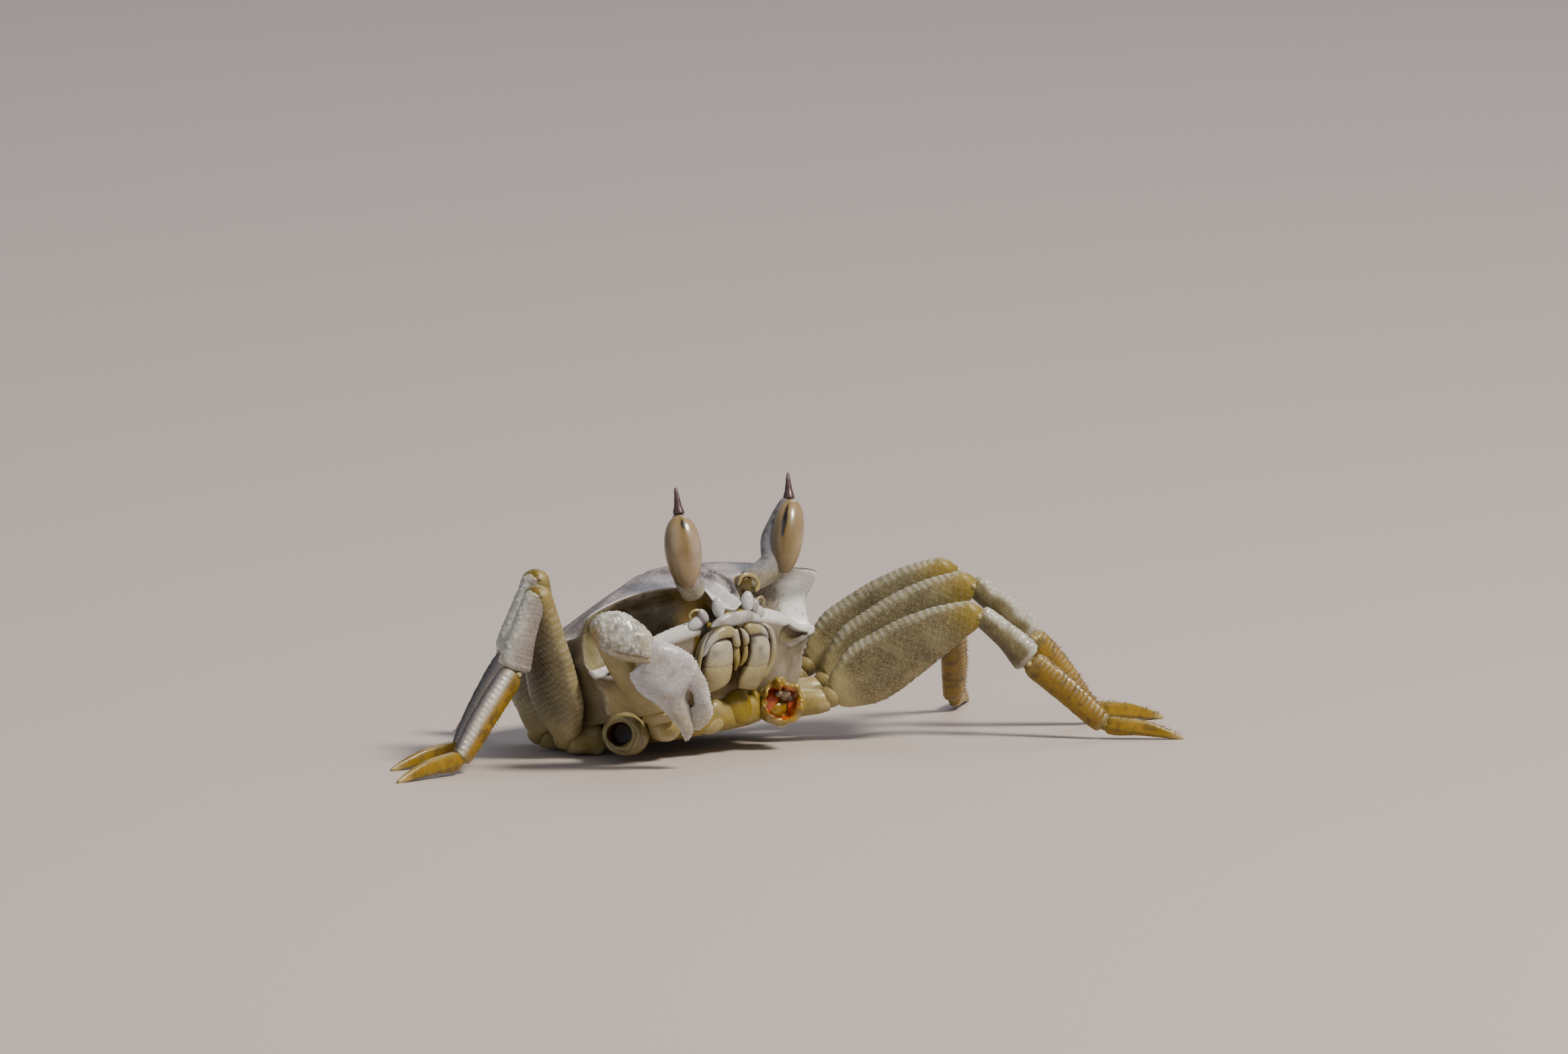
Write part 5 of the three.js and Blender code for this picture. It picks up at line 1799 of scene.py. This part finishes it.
def pigment_net(tree, where, tint, net, net_size):
    """The tint under a patchy net of brown pigment cells, as strong as the net layer says."""
    warp = add(tree, "ShaderNodeTexNoise", Vector=where, Scale=per_mm(1.6), Detail=2.0).outputs["Color"]
    bend = {"operation": "MULTIPLY_ADD"}
    bent = add(tree, "ShaderNodeVectorMath", bend, _0=warp, _1=NET_BEND, _2=where).outputs[0]
    edges = {"feature": "DISTANCE_TO_EDGE"}
    cells = add(tree, "ShaderNodeTexVoronoi", edges, Vector=bent, Scale=per_mm(net_size))
    line = add(
        tree,
        "ShaderNodeMapRange",
        {"interpolation_type": "SMOOTHSTEP"},
        Value=cells.outputs["Distance"],
        From_Min=0.02,
        From_Max=0.3,
        To_Min=1.0,
        To_Max=0.0,
    ).outputs["Result"]
    patch = add(tree, "ShaderNodeTexNoise", Vector=where, Scale=per_mm(3.0), Detail=3.0).outputs["Fac"]
    patchy = add(tree, "ShaderNodeMapRange", Value=patch, From_Min=0.3, From_Max=0.55, To_Min=0.35)
    times = {"operation": "MULTIPLY"}
    drawn = add(tree, "ShaderNodeMath", times, _0=line, _1=patchy.outputs["Result"]).outputs[0]
    drawn = add(tree, "ShaderNodeMath", times, _0=drawn, _1=net).outputs[0]
    darken = {"data_type": "RGBA", "blend_type": "MULTIPLY"}
    dark = add(tree, "ShaderNodeMix", darken, Factor=0.85, _6=tint, _7=NET_SHADE).outputs[2]
    return add(tree, "ShaderNodeMix", {"data_type": "RGBA"}, Factor=drawn, _6=tint, _7=dark).outputs[2]


def chitin(name, net_size=0.75, grain=0.42, grain_depth=0.05, rough=(0.55, 0.2), coat=0.12, glow=0.06):
    """Living crab shell: a coloured horny skin, waxy over chalk, that light enters a little.

    The tint is the shell's own colour; the dark net and the specks in it are pigment cells;
    the fine bumps are the granules too small to model; the coat is the skin's sea-wet film."""
    material, tree, shader = new_material(name)
    where = add(tree, "ShaderNodeTexCoord").outputs["Object"]
    tint, net, wet = (
        add(tree, "ShaderNodeAttribute", {"attribute_name": layer}).outputs[socket]
        for layer, socket in (("tint", "Color"), ("net", "Fac"), ("wet", "Fac"))
    )
    netted = pigment_net(tree, where, tint, net, net_size)
    speck = add(tree, "ShaderNodeTexNoise", Vector=where, Scale=per_mm(0.22), Detail=1.0).outputs["Fac"]
    shade = add(tree, "ShaderNodeMapRange", Value=speck, To_Min=0.84, To_Max=1.12, **NOISE_SPAN)
    broad = add(tree, "ShaderNodeTexNoise", Vector=where, Scale=per_mm(2.2), Detail=3.0).outputs["Fac"]
    tone = add(tree, "ShaderNodeMapRange", Value=broad, To_Min=0.86, To_Max=1.12, **NOISE_SPAN)
    both = add(
        tree,
        "ShaderNodeMath",
        {"operation": "MULTIPLY"},
        _0=shade.outputs["Result"],
        _1=tone.outputs["Result"],
    )
    final = add(tree, "ShaderNodeVectorMath", {"operation": "SCALE"}, _0=netted, Scale=both.outputs[0])
    tree.links.new(final.outputs[0], shader.inputs["Base Color"])
    film = add(tree, "ShaderNodeMapRange", Value=wet, To_Min=rough[0], To_Max=rough[1])
    uneven = add(tree, "ShaderNodeMapRange", Value=broad, To_Min=-0.08, To_Max=0.08, **NOISE_SPAN)
    total = add(
        tree,
        "ShaderNodeMath",
        {"operation": "ADD"},
        _0=film.outputs["Result"],
        _1=uneven.outputs["Result"],
    )
    tree.links.new(total.outputs[0], shader.inputs["Roughness"])
    round_cells = {"feature": "SMOOTH_F1"}
    dots = add(tree, "ShaderNodeTexVoronoi", round_cells, Vector=where, Scale=per_mm(grain))
    dimple = add(
        tree,
        "ShaderNodeBump",
        {"invert": True},
        Strength=0.5,
        Distance=grain_depth * MM,
        Height=dots.outputs["Distance"],
    ).outputs["Normal"]
    pores = add(tree, "ShaderNodeBump", Strength=0.35, Distance=0.03 * MM, Height=speck, Normal=dimple)
    tree.links.new(pores.outputs["Normal"], shader.inputs["Normal"])
    film_and_glow = {
        "Coat Weight": coat,
        "Coat Roughness": 0.22,
        "Subsurface Weight": glow,
        "Subsurface Radius": SKIN_REACH,
        "Subsurface Scale": 0.5 * MM,
    }
    set_sockets(shader, film_and_glow)
    return material


def plain_skin(name, rough, bump_size, bump_depth, coat=0.0, glow=0.0, depth=0.6, reach=SKIN_REACH):
    """A plain horny or fleshy skin in its own tint, with one fine relief."""
    material, tree, shader = new_material(name)
    where = add(tree, "ShaderNodeTexCoord").outputs["Object"]
    tint = add(tree, "ShaderNodeAttribute", {"attribute_name": "tint"}).outputs["Color"]
    grain = add(tree, "ShaderNodeTexNoise", Vector=where, Scale=per_mm(bump_size), Detail=3.0)
    grain = grain.outputs["Fac"]
    tree.links.new(shaded(tree, tint, grain, 0.82, 1.12), shader.inputs["Base Color"])
    bump = add(tree, "ShaderNodeBump", Strength=0.6, Distance=bump_depth * MM, Height=grain)
    tree.links.new(bump.outputs["Normal"], shader.inputs["Normal"])
    finish = {
        "Roughness": rough,
        "Coat Weight": coat,
        "Coat Roughness": 0.08,
        "Subsurface Weight": glow,
        "Subsurface Radius": reach,
        "Subsurface Scale": depth * MM,
    }
    set_sockets(shader, finish)
    return material


def cornea_skin(name):
    """The eye's clear, faceted skin over peach pigment: glassy, with light inside it."""
    material, tree, shader = new_material(name)
    where = add(tree, "ShaderNodeTexCoord").outputs["Object"]
    tint = add(tree, "ShaderNodeAttribute", {"attribute_name": "tint"}).outputs["Color"]
    facets = add(tree, "ShaderNodeTexVoronoi", {"feature": "F1"}, Vector=where, Scale=per_mm(0.11))
    facets = facets.outputs["Distance"]
    cloud = add(tree, "ShaderNodeTexNoise", Vector=where, Scale=per_mm(1.8), Detail=3.0).outputs["Fac"]
    tree.links.new(shaded(tree, tint, cloud, 0.88, 1.08), shader.inputs["Base Color"])
    bump = add(tree, "ShaderNodeBump", {"invert": True}, Strength=0.25, Distance=0.02 * MM, Height=facets)
    tree.links.new(bump.outputs["Normal"], shader.inputs["Normal"])
    finish = {
        "Roughness": 0.32,
        "Coat Weight": 0.9,
        "Coat Roughness": 0.06,
        "Subsurface Weight": 0.15,
        "Subsurface Radius": (1.0, 0.6, 0.35),
        "Subsurface Scale": 0.6 * MM,
    }
    set_sockets(shader, finish)
    return material


def floor_material():
    """Matte painted board under the model: pale, warm and even."""
    material, _, shader = new_material("painted_board")
    set_sockets(shader, {"Base Color": (*linear("b7aeab"), 1), "Roughness": 0.9})
    return material


# Each material: what makes it, its name, and how it differs from its maker's own values.
# Sizes and depths are in mm, rough is the roughness of dry and of wet shell.
MATERIALS = {
    "carapace": (chitin, "back_shell", {}),
    "limb": (
        chitin,
        "limb_shell",
        {"net_size": 0.37, "grain": 0.36, "grain_depth": 0.045, "rough": (0.6, 0.22), "coat": 0.1},
    ),
    "claw": (
        chitin,
        "claw_shell",
        {"net_size": 0.7, "grain": 0.4, "rough": (0.5, 0.16), "coat": 0.3, "glow": 0.1},
    ),
    "mouth": (
        chitin,
        "thin_plate",
        {
            "net_size": 0.6,
            "grain": 0.3,
            "grain_depth": 0.03,
            "rough": (0.6, 0.25),
            "coat": 0.15,
            "glow": 0.12,
        },
    ),
    "horn": (
        plain_skin,
        "ringed_horn",
        {"rough": 0.42, "bump_size": 0.5, "bump_depth": 0.06, "coat": 0.15, "glow": 0.1},
    ),
    "bristle": (plain_skin, "bristle_horn", {"rough": 0.5, "bump_size": 0.3, "bump_depth": 0.01}),
    "membrane": (
        plain_skin,
        "joint_membrane",
        {"rough": 0.5, "bump_size": 0.35, "bump_depth": 0.08, "coat": 0.2, "glow": 0.2},
    ),
    "flesh": (
        plain_skin,
        "raw_flesh",
        {
            "rough": 0.24,
            "bump_size": 0.8,
            "bump_depth": 0.2,
            "coat": 0.8,
            "glow": 0.35,
            "depth": 0.9,
            "reach": (1.0, 0.5, 0.15),
        },
    ),
    "cornea": (cornea_skin, "faceted_cornea", {}),
}


def material(key):
    """A material by its key, made the first time it is asked for."""
    maker, name, settings = MATERIALS[key]
    return bpy.data.materials.get(name) or maker(name, **settings)


# ------------------------------------------------------------------ stage

CAMERA_VIEW = {"azimuth": -38, "elevation": 7.5}
CAMERA_DISTANCE = 5.0
SENSOR_WIDTH = 36
FRAME_WIDTH_MM = 243.8  # what the view's width spans at the crab
LOOK_RIGHT, LOOK_UP = 7.68, 12.64  # from the brow's middle to the view's middle, in mm
FLOOR_WIDTH = 12


def aim(thing, target):
    """Turns an object's view towards a point in metres."""
    thing.rotation_euler = (Vector(target) - thing.location).to_track_quat("-Z", "Y").to_euler()


def build_camera():
    """A long lens a few metres away, low in front of the crab's left side."""
    right, forward, up = view_axes(**CAMERA_VIEW)
    target = (on_body(BROW_MIDDLE) + right * LOOK_RIGHT + up * LOOK_UP) * MM
    bpy.ops.object.camera_add(location=target - forward * CAMERA_DISTANCE)
    camera = bpy.context.object
    camera.name = "camera"
    aim(camera, target)
    camera.data.sensor_width = SENSOR_WIDTH
    camera.data.lens = SENSOR_WIDTH * CAMERA_DISTANCE / (FRAME_WIDTH_MM * MM)
    camera.data.clip_end = 20
    bpy.context.scene.camera = camera


# Each lamp: how far right, forward and up of the crab it stands, in metres, then its size,
# power and colour.
LAMPS = {
    "key": ((0.75, -0.45, 1.1), 0.34, 27.5, "fff2df"),
    "fill": ((-0.9, -0.8, 0.6), 1.1, 2.0, "e6edff"),
    "rear": ((0.2, 0.9, 0.9), 0.8, 4.0, "f2f4ff"),
}


def build_lamps():
    """A key from high on the right, a weak fill from the left and a light behind."""
    right, forward, _ = view_axes(**CAMERA_VIEW)
    level = unit(forward * (1, 1, 0))
    for name, (place, size, power, hexed) in LAMPS.items():
        spot = right * place[0] + level * place[1] + np.array([0, 0, place[2]])
        bpy.ops.object.light_add(type="AREA", location=spot)
        lamp = bpy.context.object
        lamp.name = f"lamp_{name}"
        lamp.data.size = size
        lamp.data.energy = power
        lamp.data.color = linear(hexed)
        aim(lamp, (0, 0, 0.01))


def build_floor():
    """The flat floor that the crab stands on, wide enough to fill the view."""
    deselect()
    bpy.ops.mesh.primitive_plane_add(size=FLOOR_WIDTH)
    board = bpy.context.object
    board.name = "floor"
    board.data.materials.append(floor_material())


def build_world():
    """Dim, even light from all round."""
    world = bpy.context.scene.world or bpy.data.worlds.new("world")
    bpy.context.scene.world = world
    world.use_nodes = True
    sky = world.node_tree.nodes["Background"]
    sky.inputs["Color"].default_value = (*linear("dcdde0"), 1)
    sky.inputs["Strength"].default_value = 0.36


# ------------------------------------------------------------------ operators and panel


def ready():
    """The panel's sizes, its colours and the materials."""
    return bpy.context.scene.crab_sizes, palette(), {key: material(key) for key in MATERIALS}


class CRAB_OT_stage(bpy.types.Operator):
    """Adds the camera, the lamps, the floor and the even light"""

    bl_idname = "crab.stage"
    bl_label = "Build stage"

    def execute(self, context):
        build_camera()
        build_lamps()
        build_floor()
        build_world()
        return {"FINISHED"}


class CRAB_OT_carapace(bpy.types.Operator):
    """Adds the carapace"""

    bl_idname = "crab.carapace"
    bl_label = "Build carapace"

    def execute(self, context):
        build_carapace(*ready())
        return {"FINISHED"}


class CRAB_OT_underside(bpy.types.Operator):
    """Adds the breastplate and the tail flap"""

    bl_idname = "crab.underside"
    bl_label = "Build underside"

    def execute(self, context):
        _, colours, materials = ready()
        build_breastplate(colours, materials)
        build_tail_flap(colours, materials)
        return {"FINISHED"}


class CRAB_OT_mouth(bpy.types.Operator):
    """Adds the mouth feet and the feelers"""

    bl_idname = "crab.mouth"
    bl_label = "Build mouth and feelers"

    def execute(self, context):
        _, colours, materials = ready()
        for side_name, sign in (("L", 1), ("R", -1)):
            build_mouth_foot(side_name, colours, materials)
            build_feeler(side_name, sign, colours, materials)
        return {"FINISHED"}


class CRAB_OT_eyes(bpy.types.Operator):
    """Adds the corneas, their stalks and their horns"""

    bl_idname = "crab.eyes"
    bl_label = "Build eyes"

    def execute(self, context):
        _, colours, materials = ready()
        for side_name in EYES:
            build_eye(side_name, colours, materials)
        return {"FINISHED"}


class CRAB_OT_claw(bpy.types.Operator):
    """Adds the folded right claw"""

    bl_idname = "crab.claw"
    bl_label = "Build claw"

    def execute(self, context):
        build_claw(*ready())
        return {"FINISHED"}


class CRAB_OT_legs(bpy.types.Operator):
    """Adds the seven walking legs"""

    bl_idname = "crab.legs"
    bl_label = "Build legs"

    def execute(self, context):
        for name in LEGS:
            build_leg(name, *ready())
        return {"FINISHED"}


class CRAB_OT_stumps(bpy.types.Operator):
    """Adds the stumps of the two lost limbs"""

    bl_idname = "crab.stumps"
    bl_label = "Build stumps"

    def execute(self, context):
        _, colours, materials = ready()
        build_claw_stump(colours, materials)
        build_leg_stump(colours, materials)
        return {"FINISHED"}


BUILDERS = [
    CRAB_OT_stage,
    CRAB_OT_carapace,
    CRAB_OT_underside,
    CRAB_OT_mouth,
    CRAB_OT_eyes,
    CRAB_OT_claw,
    CRAB_OT_legs,
    CRAB_OT_stumps,
]


class CRAB_PT_panel(bpy.types.Panel):
    """The crab's colours, sizes and pieces"""

    bl_label = "Ghost Crab"
    bl_space_type = "VIEW_3D"
    bl_region_type = "UI"
    bl_category = "Ghost Crab"

    def draw(self, context):
        column = self.layout.column()
        for group in (context.scene.crab_colours, context.scene.crab_sizes):
            for name in group.__annotations__:
                column.prop(group, name)
        for builder in BUILDERS:
            column.operator(builder.bl_idname)


CLASSES = [CrabColours, CrabSizes, *BUILDERS, CRAB_PT_panel]


def register():
    """Adds the settings, the operators and the panel to Blender."""
    for item in CLASSES:
        bpy.utils.register_class(item)
    bpy.types.Scene.crab_colours = bpy.props.PointerProperty(type=CrabColours)
    bpy.types.Scene.crab_sizes = bpy.props.PointerProperty(type=CrabSizes)


def unregister():
    """Takes them away again."""
    del bpy.types.Scene.crab_sizes
    del bpy.types.Scene.crab_colours
    for item in reversed(CLASSES):
        bpy.utils.unregister_class(item)


def main():
    """Builds the whole model."""
    register()
    bpy.ops.crab.stage()
    bpy.ops.crab.carapace()
    bpy.ops.crab.underside()
    bpy.ops.crab.mouth()
    bpy.ops.crab.eyes()
    bpy.ops.crab.claw()
    bpy.ops.crab.legs()
    bpy.ops.crab.stumps()


if __name__ == "__main__":
    main()
